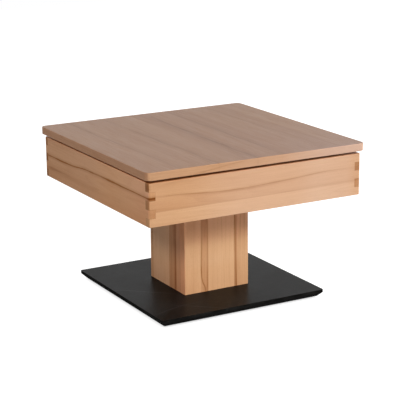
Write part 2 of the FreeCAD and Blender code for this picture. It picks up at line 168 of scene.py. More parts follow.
class SlateFinish(bpy.types.PropertyGroup):
    """Colours and gloss of the black base plate."""
    ground: tint("Ground", "Darkest slate", (0.0056, 0.0053, 0.0050))
    cloud: tint("Cloud", "Lighter patches", (0.0146, 0.0142, 0.0137))
    vein: tint("Vein", "Thin pale streaks", (0.075, 0.075, 0.077))
    gloss: share("Gloss", "Specular level of the honed face", 0.035)
    relief: length("Relief", "Height of the cleft", 0.0007)


class HardwareFinish(bpy.types.PropertyGroup):
    """Colours of the steel, plastic and rubber pieces."""
    coat: tint("Powder coat", "Black powder coat on steel", (0.018, 0.018, 0.019))
    zinc: tint("Zinc", "Zinc plated steel", (0.560, 0.565, 0.560))
    steel: tint("Bright steel", "Ground steel", (0.680, 0.680, 0.670))
    aluminium: tint("Aluminium", "Milled aluminium", (0.720, 0.725, 0.730))
    plastic: tint("Plastic", "Moulded black plastic", (0.016, 0.016, 0.017))
    rubber: tint("Rubber", "Black rubber", (0.022, 0.021, 0.020))
    panel: tint("Panel", "Black panel of the column's cap", (0.010, 0.010, 0.010))
    felt: tint("Felt", "Felt under the glides", (0.110, 0.098, 0.086))
    birch: tint("Birch", "Face veneer of the box floor", (0.700, 0.500, 0.315))


class FastenerSizes(bpy.types.PropertyGroup):
    """Sizes of the screws and bolts that the solids leave plain."""
    bolt_socket: length("Bolt socket", "Hexagon socket of the base bolts, corner radius", 0.0029)
    screw_socket: length("Screw socket", "Six-lobe socket of the wood screws, radius", 0.0016)
    bolt_pitch: length("Bolt pitch", "Thread pitch of the base bolts", 0.00125)
    screw_pitch: length("Screw pitch", "Thread pitch of the wood screws", 0.0018)
    thread_depth: length("Thread depth", "Depth of the threads of screws and bolts", 0.00045)


class WeldSizes(bpy.types.PropertyGroup):
    """Sizes of the weld beads."""
    leg: length("Leg", "Width of a bead on each of the two faces it joins", 0.0035)
    ripple: length("Ripple", "Spacing of the ripples along a bead", 0.0026)


class GripSizes(bpy.types.PropertyGroup):
    """Shape of the moulded grip on the release lever."""
    rib_count: IntProperty(name="Ribs", description="Ribs under the grip", default=9, min=0, max=30)
    rib_depth: length("Rib depth", "Depth of the grooves between the ribs", 0.0007)
    square: share("Squareness", "Power of the rounded section", 4.0, 12.0)


class StageSettings(bpy.types.PropertyGroup):
    """Camera and light of the studio."""
    azimuth: turn("Azimuth", "Camera's turn round the table, from the front", -29.322)
    elevation: turn("Elevation", "Camera's height angle", 15.025)
    roll: turn("Roll", "Camera's roll", -0.504)
    distance: length("Distance", "Camera to the point it looks at", 3.9083)
    aim_height: length("Aim height", "Height of the point that the camera looks at", 0.25502)
    aim_side: length("Aim side", "That point's shift to the right", 0.004214)
    lens: FloatProperty(name="Lens", description="Focal length on a 36 mm sensor", default=127.58,
                        subtype="DISTANCE_CAMERA", unit="CAMERA")
    key: share("Key lamp", "Light of the right lamp on a face turned to it", 0.78, 4.0)
    side: share("Side lamp", "Light of the left lamp on a face turned to it", 0.29, 4.0)
    strip: share("Low lamp", "Light of the low front lamp on a face turned to it", 0.22, 4.0)
    side_strip: share("Low side lamp", "Light of the low left lamp on a face turned to it", 0.14, 4.0)
    back: share("Back lamp", "Light of the low back lamp on a face turned to it", 0.50, 4.0)
    fill: tint("Low lamp's colour", "Warm light of the low front lamp", (1.0, 0.88, 0.84))
    sky: share("Room light", "Light from all round", 0.05, 4.0)
    floor: tint("Floor", "Colour of the floor", (0.50, 0.50, 0.50))
    glow: share("Floor glow", "White added to the floor where the camera sees it, at the table's foot", 0.60)


class FinishNodes:
    """A node tree that is being laid out."""

    def __init__(self, tree):
        self.tree = tree

    def node(self, kind, sockets=None, **settings):
        """Adds a node, sets its options, and fills its sockets with values or links."""
        made = self.tree.nodes.new("ShaderNode" + kind)
        for option, value in settings.items():
            setattr(made, option, value)
        for key, value in (sockets or {}).items():
            if isinstance(value, bpy.types.NodeSocket):
                self.link(value, made.inputs[key])
            else:
                made.inputs[key].default_value = value
        return made

    def link(self, value, socket):
        """Links a value to a socket."""
        self.tree.links.new(value, socket)

    def calc(self, operation, *terms, clamp=False):
        """One step of arithmetic."""
        return self.node("Math", dict(enumerate(terms)), operation=operation, use_clamp=clamp).outputs[0]

    def times(self, first, second):
        """A product."""
        return self.calc("MULTIPLY", first, second)

    def flip(self, value):
        """1 less the value."""
        return self.calc("SUBTRACT", 1.0, value)

    def vector(self, operation, *terms):
        """One step of vector arithmetic."""
        return self.node("VectorMath", dict(enumerate(terms)), operation=operation).outputs[0]

    def join(self, x=0.0, y=0.0, z=0.0):
        """A vector from three values."""
        return self.node("CombineXYZ", {0: x, 1: y, 2: z}).outputs[0]

    def split(self, vector):
        """The three values of a vector."""
        return self.node("SeparateXYZ", {0: vector}).outputs

    def noise(self, vector, waves, detail=2.0, roughness=0.5, distortion=0.0):
        """Smooth noise with the given waves per metre along each axis."""
        place = self.vector("MULTIPLY", vector, waves)
        made = self.node("TexNoise", {"Vector": place, "Scale": 1.0, "Detail": detail,
                                      "Roughness": roughness, "Distortion": distortion})
        return made.outputs[0]

    def fade(self, value, low, high):
        """Soft step from 0 at low to 1 at high."""
        made = self.node("MapRange", {"Value": value, "From Min": low, "From Max": high},
                         interpolation_type="SMOOTHSTEP")
        return made.outputs[0]

    def scale(self, value, low, high, first=0.0, last=1.0):
        """Straight map of low to high onto first to last."""
        made = self.node("MapRange", {"Value": value, "From Min": low, "From Max": high,
                                      "To Min": first, "To Max": last})
        return made.outputs[0]

    def blend(self, factor, first, second, mode="MIX"):
        """Two colours mixed."""
        made = self.node("Mix", {0: factor, 6: first, 7: second}, data_type="RGBA", blend_type=mode)
        return made.outputs[2]

    def stain(self, colour, shade, mask, strength=None):
        """A colour multiplied by a shade, as far as a mask says, times a strength where one is given."""
        if strength is not None:
            mask = self.times(mask, strength)
        return self.blend(mask, colour, shade, "MULTIPLY")

    def stops(self, value, stops, interpolation):
        """A ramp of colours, each (place, colour)."""
        made = self.node("ValToRGB", {"Fac": value})
        ramp = made.color_ramp
        ramp.interpolation = interpolation
        ramp.elements.remove(ramp.elements[1])
        ramp.elements[0].position = stops[0][0]
        ramp.elements[0].color = rgba(stops[0][1])
        for place, colour in stops[1:]:
            ramp.elements.new(place).color = rgba(colour)
        return made.outputs[0]

    def curve(self, value, stops, interpolation):
        """A ramp of plain values, each (place, value)."""
        colours = [(place, (level, 0.0, 0.0)) for place, level in stops]
        return self.split(self.stops(value, colours, interpolation))[0]

    def group(self, make, sockets):
        """A shared effect with its own values, built by its maker on first use."""
        name = make.__name__.removeprefix("make_")
        tree = bpy.data.node_groups.get(name) or make(name)
        return self.node("Group", sockets, node_tree=tree).outputs

    def close(self, given, **values):
        """Links the outputs of a shared effect, each by its name, and gives back its tree."""
        for label, value in values.items():
            self.link(value, given[label])
        return self.tree


def shared_effect(name, takes, gives):
    """A new node group with the named sockets: its nodes, what it takes, and what it gives."""
    tree = bpy.data.node_groups.new(name, "ShaderNodeTree")
    for label, kind in takes.items():
        tree.interface.new_socket(label, in_out="INPUT", socket_type="NodeSocket" + kind)
    for label, kind in gives.items():
        tree.interface.new_socket(label, in_out="OUTPUT", socket_type="NodeSocket" + kind)
    taken = tree.nodes.new("NodeGroupInput").outputs
    given = tree.nodes.new("NodeGroupOutput").inputs
    return FinishNodes(tree), taken, given


def rgba(colour):
    """A colour with full alpha."""
    return (*colour, 1.0)


def toned(colour, factor):
    """A colour made lighter or darker, by one factor or by one for each channel."""
    return tuple(np.minimum(1.0, np.multiply(tuple(colour), factor)).tolist())


def make_beech_figure(name):
    """Beech from board coordinates in metres (along the grain, across, depth): growth rings as contours
    of a long smooth noise, fibre, ray flecks, drifting tone, and patches of red heart with a dark rim."""
    takes = {"Vector": "Vector", "Seed": "Float", "Tone": "Float", "Heart": "Float", "End": "Float",
             "Pale": "Color", "Brown": "Color", "Heart Shade": "Color", "Line Shade": "Color",
             "End Shade": "Color"}
    n, taken, given = shared_effect(name, takes, FINISH_GIVES)
    shift = n.join(*(n.times(taken["Seed"], metres) for metres in SEED_SHIFT))
    spot = n.vector("ADD", taken["Vector"], shift)
    field = n.noise(spot, RING_WAVES, 1.5, 0.45, 0.35)
    late = n.fade(n.calc("FRACT", n.times(field, RINGS)), 0.45, 1.0)
    fibre = n.noise(spot, FIBRE_WAVES, 3.0, 0.62)
    fleck = n.fade(n.noise(spot, FLECK_WAVES, 1.0), 0.60, 0.74)
    drift = n.noise(spot, DRIFT_WAVES, 3.0, 0.55)
    hearts = n.noise(spot, HEART_WAVES, 2.5, 0.55, 0.5)
    region = n.times(n.fade(hearts, 0.55, 0.64), taken["Heart"])
    off = n.calc("ABSOLUTE", n.calc("SUBTRACT", hearts, HEART_RIM))
    rim = n.times(n.flip(n.fade(off, 0.002, 0.016)), taken["Heart"])
    drifted = n.times(n.calc("SUBTRACT", drift, 0.5), DRIFT_TONE)
    tone = n.calc("ADD", taken["Tone"], drifted, clamp=True)
    colour = n.blend(tone, taken["Brown"], taken["Pale"])
    colour = n.stain(colour, LATE_SHADE, late, 0.30)
    colour = n.stain(colour, FIBRE_SHADE, n.fade(fibre, 0.42, 0.70), 0.50)
    colour = n.stain(colour, taken["Heart Shade"], region, 0.60)
    colour = n.stain(colour, taken["Line Shade"], rim, 0.50)
    colour = n.stain(colour, FLECK_SHADE, fleck, 0.40)
    pores = n.fade(n.noise(spot, PORE_WAVES, 2.0), 0.45, 0.70)
    cut = n.blend(n.times(pores, 0.6), taken["End Shade"], PORE_SHADE)
    colour = n.blend(taken["End"], colour, n.stain(colour, cut, 1.0))
    rough = n.calc("ADD", n.scale(fibre, 0.3, 0.7, 0.36, 0.50), n.times(taken["End"], 0.15))
    height = n.calc("ADD", n.times(fibre, 0.7), n.times(late, 0.25))
    height = n.calc("SUBTRACT", height, n.times(fleck, 0.3))
    return n.close(given, Color=colour, Roughness=rough, Height=height)


def make_streak_line(name):
    """A dark line along a board: 1 where the distance across from its place is under its width, with a
    soft halo, its place swayed and its strength broken by noise along the grain; Above is 1 beyond it."""
    takes = dict.fromkeys(["Along", "Across", "Place", "Strength", "Width", "Halo", "Sway", "Seed"], "Float")
    n, taken, given = shared_effect(name, takes, {"Mask": "Float", "Above": "Float"})
    track = n.join(taken["Along"], taken["Seed"], 0.0)
    sway = n.times(n.calc("SUBTRACT", n.noise(track, SWAY_WAVES, 3.0), 0.5), taken["Sway"])
    off = n.calc("SUBTRACT", n.calc("SUBTRACT", taken["Across"], taken["Place"]), sway)
    away = n.calc("ABSOLUTE", off)
    swell = n.scale(n.noise(track, SWELL_WAVES, 2.0), 0.3, 0.7, 0.5, 1.5)
    width = n.times(taken["Width"], swell)
    core = n.flip(n.fade(away, n.times(width, 0.25), width))
    halo = n.flip(n.fade(away, 0.0, taken["Halo"]))
    mask = n.calc("MAXIMUM", core, n.times(halo, 0.40))
    broken = n.scale(n.noise(track, BREAK_WAVES, 3.0), 0.3, 0.6, 0.65, 1.0)
    mask = n.calc("MULTIPLY", n.times(mask, broken), taken["Strength"], clamp=True)
    above = n.fade(off, n.times(width, -1.0), width)
    return n.close(given, Mask=mask, Above=above)


def make_finger_seam(name):
    """Glue seams of the corner fingers: dark where the height is near a multiple of the finger height
    beyond the inner face, or where the distance along is near the inner face on a given-up finger."""
    takes = dict.fromkeys(["Along", "Level", "Inside", "Foot", "Finger", "Own"], "Float")
    n, taken, given = shared_effect(name, takes, {"Mask": "Float"})
    reach = n.calc("ABSOLUTE", taken["Along"])
    count = n.calc("DIVIDE", n.calc("SUBTRACT", taken["Level"], taken["Foot"]), taken["Finger"])
    near = n.calc("ABSOLUTE", n.calc("SUBTRACT", n.calc("FRACT", n.calc("ADD", count, 0.5)), 0.5))
    near = n.times(near, taken["Finger"])
    past = n.calc("GREATER_THAN", reach, n.calc("SUBTRACT", taken["Inside"], WALL_SEAM[0]))
    level = n.times(n.flip(n.fade(near, *LEVEL_SEAM)), past)
    odd = n.calc("FLOORED_MODULO", n.calc("FLOOR", count), 2.0)
    given_up = n.calc("ABSOLUTE", n.calc("SUBTRACT", odd, taken["Own"]))
    gap = n.calc("ABSOLUTE", n.calc("SUBTRACT", reach, taken["Inside"]))
    wall = n.times(n.flip(n.fade(gap, *WALL_SEAM)), given_up)
    return n.close(given, Mask=n.calc("MAXIMUM", level, wall))


def make_speckle(name):
    """Fine grain of a coated, moulded or plated face: two tones and two roughnesses mixed by stretched
    noise, broken up by a coarser cloud, and the same noise as a height."""
    takes = {"Vector": "Vector", "Grain": "Vector", "Low": "Color", "High": "Color", "Smooth": "Float",
             "Rough": "Float"}
    n, taken, given = shared_effect(name, takes, FINISH_GIVES)
    fine = n.noise(taken["Vector"], taken["Grain"], 3.0, 0.6)
    cloud = n.noise(taken["Vector"], CLOUD_WAVES, 3.0, 0.55)
    mixed = n.calc("ADD", n.times(fine, 0.6), n.times(cloud, 0.4))
    factor = n.fade(mixed, 0.35, 0.65)
    colour = n.blend(factor, taken["Low"], taken["High"])
    rougher = n.times(factor, n.calc("SUBTRACT", taken["Rough"], taken["Smooth"]))
    rough = n.calc("ADD", taken["Smooth"], rougher)
    return n.close(given, Color=colour, Roughness=rough, Height=fine)


def new_finish(name):
    """An empty material: its nodes, its Principled shader, and object coordinates with the normal."""
    material = bpy.data.materials.new(name)
    material.use_nodes = True
    nodes = FinishNodes(material.node_tree)
    shader = material.node_tree.nodes["Principled BSDF"]
    place = nodes.node("TexCoord")
    return material, nodes, shader, place.outputs["Object"], place.outputs["Normal"]


def finish_with(nodes, shader, colour, rough, height, relief, gloss=0.5):
    """Links colour, roughness and a bump of the given relief to the shader, and sets its specular level."""
    shader.inputs["Specular IOR Level"].default_value = gloss
    nodes.link(colour, shader.inputs["Base Color"])
    nodes.link(rough, shader.inputs["Roughness"])
    bump = nodes.node("Bump", {"Strength": 1.0, "Distance": relief, "Height": height})
    nodes.link(bump.outputs[0], shader.inputs["Normal"])


def streak(width, halo, sway, *points, beyond=0.0):
    """A heart line for beech_board: its points are (share along, share across, strength), its width, halo
    and sway are in metres, and beyond is the tone added on its far side."""
    return {"width": width, "halo": halo, "sway": sway, "points": points, "beyond": beyond}


def heart_line(n, line, run, along, across, low, high, seed):
    """The marks of one streak, whose places across are shares from low to high."""
    track = n.split(n.stops(run, [(p[0], (p[1], p[2], 0.0)) for p in line["points"]], "B_SPLINE"))
    return n.group(make_streak_line, {
        "Along": along, "Across": across, "Place": n.scale(track[0], 0.0, 1.0, low, high),
        "Strength": track[1], "Width": line["width"], "Halo": line["halo"], "Sway": line["sway"],
        "Seed": seed})


def beech_board(name, node, axes, staves, lines=(), seed=0.0, ends=((0.0, 1.0),), bloom=None, hue_and_shade=(),
                shade=1.0, gloss=1.0, edge=None, fingers=None, gap=None):
    """Gives one board its core beech.

    axes names the object axes that run along the grain, across it and through the board. staves are
    (start, tone, seed, heart), with start as a share across. lines are streaks. ends are (start, strength)
    of the end grain's darkness across. bloom is two lists of (share, strength), along and across,
    whose product is the share of paler, pinkish colour: a painted sheen that stands in for a lamp's
    reflection. hue_and_shade is up to two lists of (share, colour factor), along and across, for the
    board's drifting hue together with painted shade where the board gets less light. shade and gloss scale
    the board's colour and its specular level; a darker shade is painted shade. edge is given where strips
    with long grain hide the board's ends: the tones at both ends of such a strip, its shade, and its
    streaks, with points (share across, share through, strength). fingers is given for a finger-jointed
    board: how far its inner length reaches, its foot, the height of a finger, and own, 0 where the board
    keeps its lowest finger and 1 where it gives it up. gap is 1 or -1 where the board's upper or lower face
    looks into the gap under the top; such faces get painted shade. Every rounded rim gets a painted
    highlight.
    """
    beech = bpy.context.scene.coffee_table_beech
    material, n, shader, spot, normal = new_finish(name)
    low, high = ([corner[AXIS[a]] for a in axes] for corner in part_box(node))
    parts = n.split(spot)
    along, across, depth = (parts[AXIS[a]] for a in axes)
    facing = n.split(normal)[AXIS[axes[0]]]
    cut = n.fade(n.calc("ABSOLUTE", facing), *END_FACING)
    face = n.flip(cut)
    board = n.join(along, across, depth)
    far = n.scale(across, low[1], high[1])
    run = n.scale(along, low[0], high[0])
    tone, grown, heart = n.split(n.stops(far, [(s[0], s[1:]) for s in staves], "CONSTANT"))
    dark_end = n.curve(far, ends, "CONSTANT")
    masks = []
    for number, line in enumerate(lines):
        marks = heart_line(n, line, run, along, across, low[1], high[1], seed + 1.7 * number)
        masks.append(marks["Mask"])
        if line["beyond"]:
            tone = n.calc("ADD", tone, n.times(marks["Above"], line["beyond"]), clamp=True)
    if edge:
        strip = n.join(across, depth, along)
        board = n.node("Mix", {0: cut, 4: board, 5: strip}, data_type="VECTOR").outputs[1]
        tone = n.node("Mix", {0: cut, 2: tone, 3: n.scale(far, 0.0, 1.0, *edge["tones"])}).outputs[0]
        grown = n.node("Mix", {0: cut, 2: grown, 3: 0.5}).outputs[0]
        heart = n.times(heart, face)
    wood = n.group(make_beech_figure, {
        "Vector": board, "Seed": n.calc("ADD", grown, seed), "Tone": tone, "Heart": heart,
        "End": 0.0 if edge else n.times(cut, dark_end), "Pale": rgba(toned(beech.pale, shade)),
        "Brown": rgba(toned(beech.brown, shade)), "Heart Shade": rgba(beech.heart),
        "Line Shade": rgba(beech.line), "End Shade": rgba(beech.end_shade)})
    colour = wood["Color"]
    # Painted sheen: paler, pinkish colour mixed in where a lamp's reflection would fall.
    if bloom:
        spread = [n.curve(part, stops, "EASE") for part, stops in zip((run, far), bloom)]
        if not edge:
            spread[0] = n.times(spread[0], face)
        colour = n.blend(n.times(*spread), colour, rgba(toned(beech.bloom, shade)))
    # Painted shade together with the board's drifting hue, on all but the end grain.
    for part, stops in zip((run, far), hue_and_shade):
        colour = n.stain(colour, n.stops(part, stops, "EASE"), face)
    # Painted shade: faces that look into the gap under the top are darkened and reddened.
    if gap:
        looks = n.fade(n.split(normal)[2], *(limit * gap for limit in GAP_SHADE_FACING))
        colour = n.stain(colour, rgba(beech.gap), looks)
    # Painted highlight: the colour of rounded rims is brightened by the rim factor.
    x, y, z = n.split(n.vector("ABSOLUTE", normal))
    bend = n.calc("MAXIMUM", n.times(x, y), n.times(z, n.calc("MAXIMUM", x, y)))
    colour = n.stain(colour, rgba([beech.rim] * 3), n.fade(bend, *RIM_HIGHLIGHT_BEND))
    if edge:
        colour = n.stain(colour, rgba(edge["shade"]), cut)
        masks = [n.times(mask, n.scale(cut, 0.0, 1.0, 1.0, EDGE_LINES)) for mask in masks]
        for number, line in enumerate(edge["lines"]):
            marks = heart_line(n, line, far, across, depth, low[2], high[2], seed + 2.9 * number)
            masks.append(n.times(marks["Mask"], cut))
    for mask in masks:
        colour = n.stain(colour, rgba(beech.line), mask)
    if fingers:
        seam = n.group(make_finger_seam, {
            "Along": along, "Level": parts[2], "Inside": fingers["inside"], "Foot": fingers["foot"],
            "Finger": fingers["height"], "Own": fingers["own"]})
        colour = n.stain(colour, rgba(beech.line), seam["Mask"], SEAM_DARKNESS)
    level = n.fade(n.calc("ABSOLUTE", n.split(normal)[2]), *LEVEL_FACING)
    rough = n.calc("ADD", wood["Roughness"], n.scale(level, 0.0, 1.0, UPRIGHT_ROUGH, 0.0))
    finish_with(n, shader, colour, rough, wood["Height"], beech.relief, beech.gloss * gloss)
    dress(material, node)


def speckle(n, spot, colour, tones, grain, rough):
    """The speckle of a colour times two tones, with grains per metre and two roughnesses."""
    return n.group(make_speckle, {
        "Vector": spot, "Grain": grain, "Low": rgba(toned(colour, tones[0])),
        "High": rgba(toned(colour, tones[1])), "Smooth": rough[0], "Rough": rough[1]})


def speckled(name, colour, tones, grain, rough, relief, metal=0.0, gloss=0.5):
    """A coated, moulded, plated or ground finish of two close tones."""
    material, n, shader, spot, _ = new_finish(name)
    marks = speckle(n, spot, colour, tones, grain, rough)
    shader.inputs["Metallic"].default_value = metal
    finish_with(n, shader, marks["Color"], marks["Roughness"], marks["Height"], relief, gloss)
    return material


def dress(material, *names):
    """Gives CAD nodes a finish."""
    for name in names:
        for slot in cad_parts[name].material_slots:
            slot.material = material


def closed_skin(rings, first_pole, last_pole):
    """A closed skin over rings of points (ring, step, xyz): each ring is joined to the next, and each end
    ring to a pole. Returns the points, the four-sided faces and the three-sided faces, which point outwards
    where the rings run against the clock as seen from the last pole."""
    count, steps, _ = rings.shape
    points = np.concatenate([rings.reshape(-1, 3), [first_pole, last_pole]])
    ring = np.arange(count - 1)[:, None] * steps
    step = np.arange(steps)
    after = (step + 1) % steps
    quads = np.stack([ring + step, ring + after, ring + steps + after, ring + steps + step], -1)
    top = (count - 1) * steps
    start = np.stack([after, step, np.full(steps, count * steps)], -1)
    stop = np.stack([top + step, top + after, np.full(steps, count * steps + 1)], -1)
    return points, quads.reshape(-1, 4), np.concatenate([start, stop])


def joined_piece(name, skins, material, body, replaced=(), smooth=0.6):
    """One object from several closed skins, smooth but for edges sharper than the given angle."""
    starts = np.cumsum([0] + [len(skin[0]) for skin in skins[:-1]])
    points = np.concatenate([skin[0] for skin in skins])
    quads = np.concatenate([skin[1] + start for skin, start in zip(skins, starts)])
    fans = np.concatenate([skin[2] + start for skin, start in zip(skins, starts)])
    mesh = bpy.data.meshes.new(name)
    mesh.from_pydata(points.tolist(), [], quads.tolist() + fans.tolist())
    mesh.update()
    mesh.shade_smooth()
    mesh.set_sharp_from_angle(angle=smooth)
    mesh.materials.append(material)
    piece = bpy.data.objects.new(name, mesh)
    bpy.context.scene.collection.objects.link(piece)
    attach(piece, body)
    if replaced:
        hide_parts(*replaced)


def screw_profile(head_radius, shank_radius, reach, socket_radius, socket_depth, crown, pitch):
    """Profile (radius, depth below the head's face) of a countersunk screw where crown is nought, and of
    a pan head screw of that crown otherwise, with rows along the shank for the thread. Returns it with a
    mask of its points in the socket and the two levels between which the thread runs."""
    socket = [(socket_radius * 0.55, socket_depth), (socket_radius, socket_depth * 0.86),
              (socket_radius, SOCKET_BEVEL)]
    face = [(socket_radius + SOCKET_BEVEL, 0.0)]
    if crown:
        fillet = 0.55 * crown
        bend = np.linspace(0.0, np.pi / 2.0, 6)
        rim = np.stack([head_radius - fillet + fillet * np.sin(bend), fillet * (1.0 - np.cos(bend))], -1)
        neck = [(head_radius, crown), (shank_radius, crown)]
        under = crown
    else:
        under = head_radius - shank_radius
        rim = [(head_radius - HEAD_BEVEL, 0.0), (head_radius, HEAD_BEVEL)]
        neck = [(shank_radius, under)]
    start, stop = under + 0.3 * pitch, reach - shank_radius * 1.2
    rows = np.arange(start, stop, pitch / THREAD_ROWS)
    shank = np.stack([np.full_like(rows, shank_radius), rows], -1)
    tip = [(shank_radius, stop), (shank_radius * 0.35, reach - 0.0002)]
    profile = np.concatenate([socket, face, rim, neck, shank, tip])
    return profile, np.arange(len(profile)) < len(socket), (start, stop)


def screw_rings(profile, inside, hexagon, thread, pitch, depth):
    """A screw about Z: each point of a profile (radius, depth) turned round the axis. In the socket the
    radius follows a hexagonal or lobed outline; between the two levels of the thread it falls by the
    thread's depth times the distance from the crest of a helix of the given pitch."""
    angle = np.arange(SCREW_STEPS) * 2.0 * np.pi / SCREW_STEPS
    radius, level = profile[:, :1], profile[:, 1:]
    if hexagon:
        corner = np.pi / 3.0
        outline = np.cos(corner / 2.0) / np.cos((angle % corner) - corner / 2.0)
    else:
        outline = 0.86 + 0.14 * np.cos(6.0 * angle)
    grid = radius * np.where(inside[:, None], outline, 1.0)
    cut = (level >= thread[0]) & (level <= thread[1])
    phase = (level / pitch - angle / (2.0 * np.pi)) % 1.0
    grid = grid - np.where(cut, depth * np.abs(2.0 * phase - 1.0), 0.0)
    return np.stack([grid * np.cos(angle), grid * np.sin(angle), np.broadcast_to(level, grid.shape)], -1)


def screw_set(name, node, body, places, up, head_radius, shank_radius, crown, hexagon=False):
    """A group of like screws at the given places, heads up or down, as long as the node they replace."""
    sizes = bpy.context.scene.coffee_table_fasteners
    low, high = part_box(node)
    face = high[2] if up else low[2]
    reach = high[2] - low[2]
    socket_radius = sizes.bolt_socket if hexagon else sizes.screw_socket * head_radius / SOCKET_HEAD
    pitch = sizes.bolt_pitch if hexagon else sizes.screw_pitch
    deep = min(socket_radius, crown * 0.8) if crown else socket_radius * 1.05
    profile, inside, thread = screw_profile(head_radius, shank_radius, reach, socket_radius, deep, crown,
                                            pitch)
    rings = screw_rings(profile, inside, hexagon, thread, pitch, sizes.thread_depth)
    sign = -1.0 if up else 1.0
    skins = [closed_skin(rings * (1.0, sign, sign) + (x, y, face), (x, y, face + sign * deep),
                         (x, y, face + sign * reach)) for x, y in places]
    joined_piece(name, skins, zinc_plate(), body, [node])


def bead_skin(path, out, up):
    """A weld bead: a convex quarter section (cosine and sine to the power 0.8) carried along a path, its
    legs rising and falling with a rounded ripple and drawn in towards both ends. out and up point away
    from the joint's corner, and the section reaches a little behind it, into the two faces it joins."""
    sizes = bpy.context.scene.coffee_table_welds
    stretch = np.linalg.norm(np.diff(path, axis=0), axis=1)
    run = np.concatenate([[0.0], np.cumsum(stretch)])
    ends = np.clip(np.minimum(run, run[-1] - run) / sizes.leg, 0.0, 1.0)
    ripple = 0.93 + 0.07 * np.abs(np.cos(np.pi * run / sizes.ripple))
    size = np.maximum(sizes.leg * np.sqrt(ends * (2.0 - ends)) * ripple, sizes.leg * BEAD_TAIL)
    bend = np.linspace(0.0, np.pi / 2.0, 9)[1:]
    across = np.concatenate([[-BEAD_ROOT, 1.0], np.cos(bend) ** 0.8, [-BEAD_ROOT]])
    level = np.concatenate([[-BEAD_ROOT, -BEAD_ROOT], np.sin(bend) ** 0.8, [1.0]])
    rings = (path[:, None, :] + out[:, None, :] * (size[:, None] * across)[:, :, None]
             + up[:, None, :] * (size[:, None] * level)[:, :, None])
    hand = np.einsum("ij,ij->i", np.cross(out[:-1], up[:-1]), np.diff(path, axis=0)).mean()
    if hand < 0.0:
        rings = rings[:, ::-1]
    return closed_skin(rings, rings[0].mean(0), rings[-1].mean(0))


def tube_bead(half, gap, level, upwards):
    """A bead round a square tube, from one side of a gap in its front face round to the other: along
    straight runs joined by quarter circles, in even steps. upwards is 1 for a bead on top of the plate
    at that level and -1 for one below it."""
    turns = np.linspace(0.0, np.pi / 2.0, 9)
    centre = half - TUBE_CORNER
    knots = [np.array([[gap, -half]])]
    for number, (sx, sy) in enumerate([(1, -1), (1, 1), (-1, 1), (-1, -1)]):
        angle = turns + (number - 1) * np.pi / 2.0
        bend = np.stack([np.cos(angle), np.sin(angle)], -1)
        knots.append(np.array([sx, sy]) * centre + TUBE_CORNER * bend)
    knots.append(np.array([[-gap, -half]]))
    knots = np.concatenate(knots)
    run = np.concatenate([[0.0], np.cumsum(np.linalg.norm(np.diff(knots, axis=0), axis=1))])
    even = np.linspace(0.0, run[-1], TUBE_ROWS)
    x, y = np.interp(even, run, knots[:, 0]), np.interp(even, run, knots[:, 1])
    tangent = np.gradient(np.stack([x, y], -1), axis=0)
    tangent /= np.linalg.norm(tangent, axis=1)[:, None]
    path = np.stack([x, y, np.full(TUBE_ROWS, level)], -1)
    out = np.stack([tangent[:, 1], -tangent[:, 0], np.zeros(TUBE_ROWS)], -1)
    return bead_skin(path, out, np.broadcast_to((0.0, 0.0, upwards), path.shape))


class MakerOperator:
    """Options that all the operators of this table share."""
    bl_options = {"REGISTER"}


class COFFEE_TABLE_OT_dress_top(MakerOperator, bpy.types.Operator):
    """Finish the table top: glued staves of core beech with soft dark streaks"""
    bl_idname = "coffee_table.dress_top"
    bl_label = "Dress the top"

    def execute(self, context):
        staves = [(0.0, 0.52, 0.11, 0.10), (0.175, 0.52, 0.37, 0.05), (0.34, 0.55, 0.52, 0.0),
                  (0.422, 0.44, 0.24, 0.25), (0.515, 0.50, 0.63, 0.05), (0.598, 0.42, 0.91, 0.15),
                  (0.695, 0.52, 0.08, 0.05), (0.80, 0.46, 0.45, 0.05), (0.885, 0.54, 0.70, 0.0)]
        lines = [
            streak(0.0036, 0.020, 0.022, (0.0, 0.150, 0.18), (0.20, 0.140, 0.38), (0.45, 0.136, 0.30),
                   (0.75, 0.122, 0.58), (0.95, 0.130, 0.50)),
            streak(0.0036, 0.022, 0.020, (0.0, 0.312, 0.42), (0.25, 0.306, 0.48), (0.55, 0.300, 0.48),
                   (0.75, 0.292, 0.40), (1.0, 0.288, 0.16)),
            streak(0.0050, 0.026, 0.020, (0.0, 0.490, 0.42), (0.30, 0.488, 0.56), (0.60, 0.486, 0.62),
                   (0.80, 0.494, 0.50), (1.0, 0.500, 0.18)),
            streak(0.0036, 0.026, 0.022, (0.0, 0.600, 0.16), (0.25, 0.612, 0.38), (0.50, 0.614, 0.48),
                   (0.75, 0.612, 0.40), (1.0, 0.61, 0.22)),
            streak(0.0030, 0.020, 0.014, (0.0, 0.83, 0.06), (0.35, 0.82, 0.15), (0.65, 0.81, 0.24),
                   (1.0, 0.80, 0.18)),
        ]
        # Painted sheen towards the front right of the top, where a lamp's reflection falls.
        bloom = ([(0.0, 0.60), (0.015, 0.34), (0.10, 0.25), (0.3, 0.12), (0.6, 0.0)],
                 [(0.25, 0.0), (0.50, 0.22), (0.88, 0.9), (1.0, 0.95)])
        # Painted shade together with the top's drifting hue, darker towards the front.
        hue_and_shade = [[(0.0, (0.955, 0.920, 0.915)), (0.20, (0.967, 0.945, 0.945)), (0.45, (0.980, 0.965, 0.970)),
                 (0.70, (0.995, 0.990, 1.0)), (1.0, (0.99, 0.99, 1.02))]]
        slant = streak(0.0014, 0.005, 0.002, (0.14, 0.0, 0.0), (0.22, 0.12, 0.40), (0.31, 0.50, 0.44),
                       (0.40, 0.85, 0.42), (0.47, 1.0, 0.0))
        # The top's shade darkens its colour: painted shade for a face that gets less light than the sides.
        # The edge's shade lifts the front and back strips back out of it.
        edge = {"tones": (0.82, 1.0), "shade": (1.105, 1.10, 1.04), "lines": [slant]}
        beech_board("beech_top", "table_top", "YXZ", staves, lines, 0.3, bloom=bloom, hue_and_shade=hue_and_shade,
                    shade=(0.675, 0.655, 0.695), gloss=2.1, edge=edge, gap=-1)
        return {"FINISHED"}


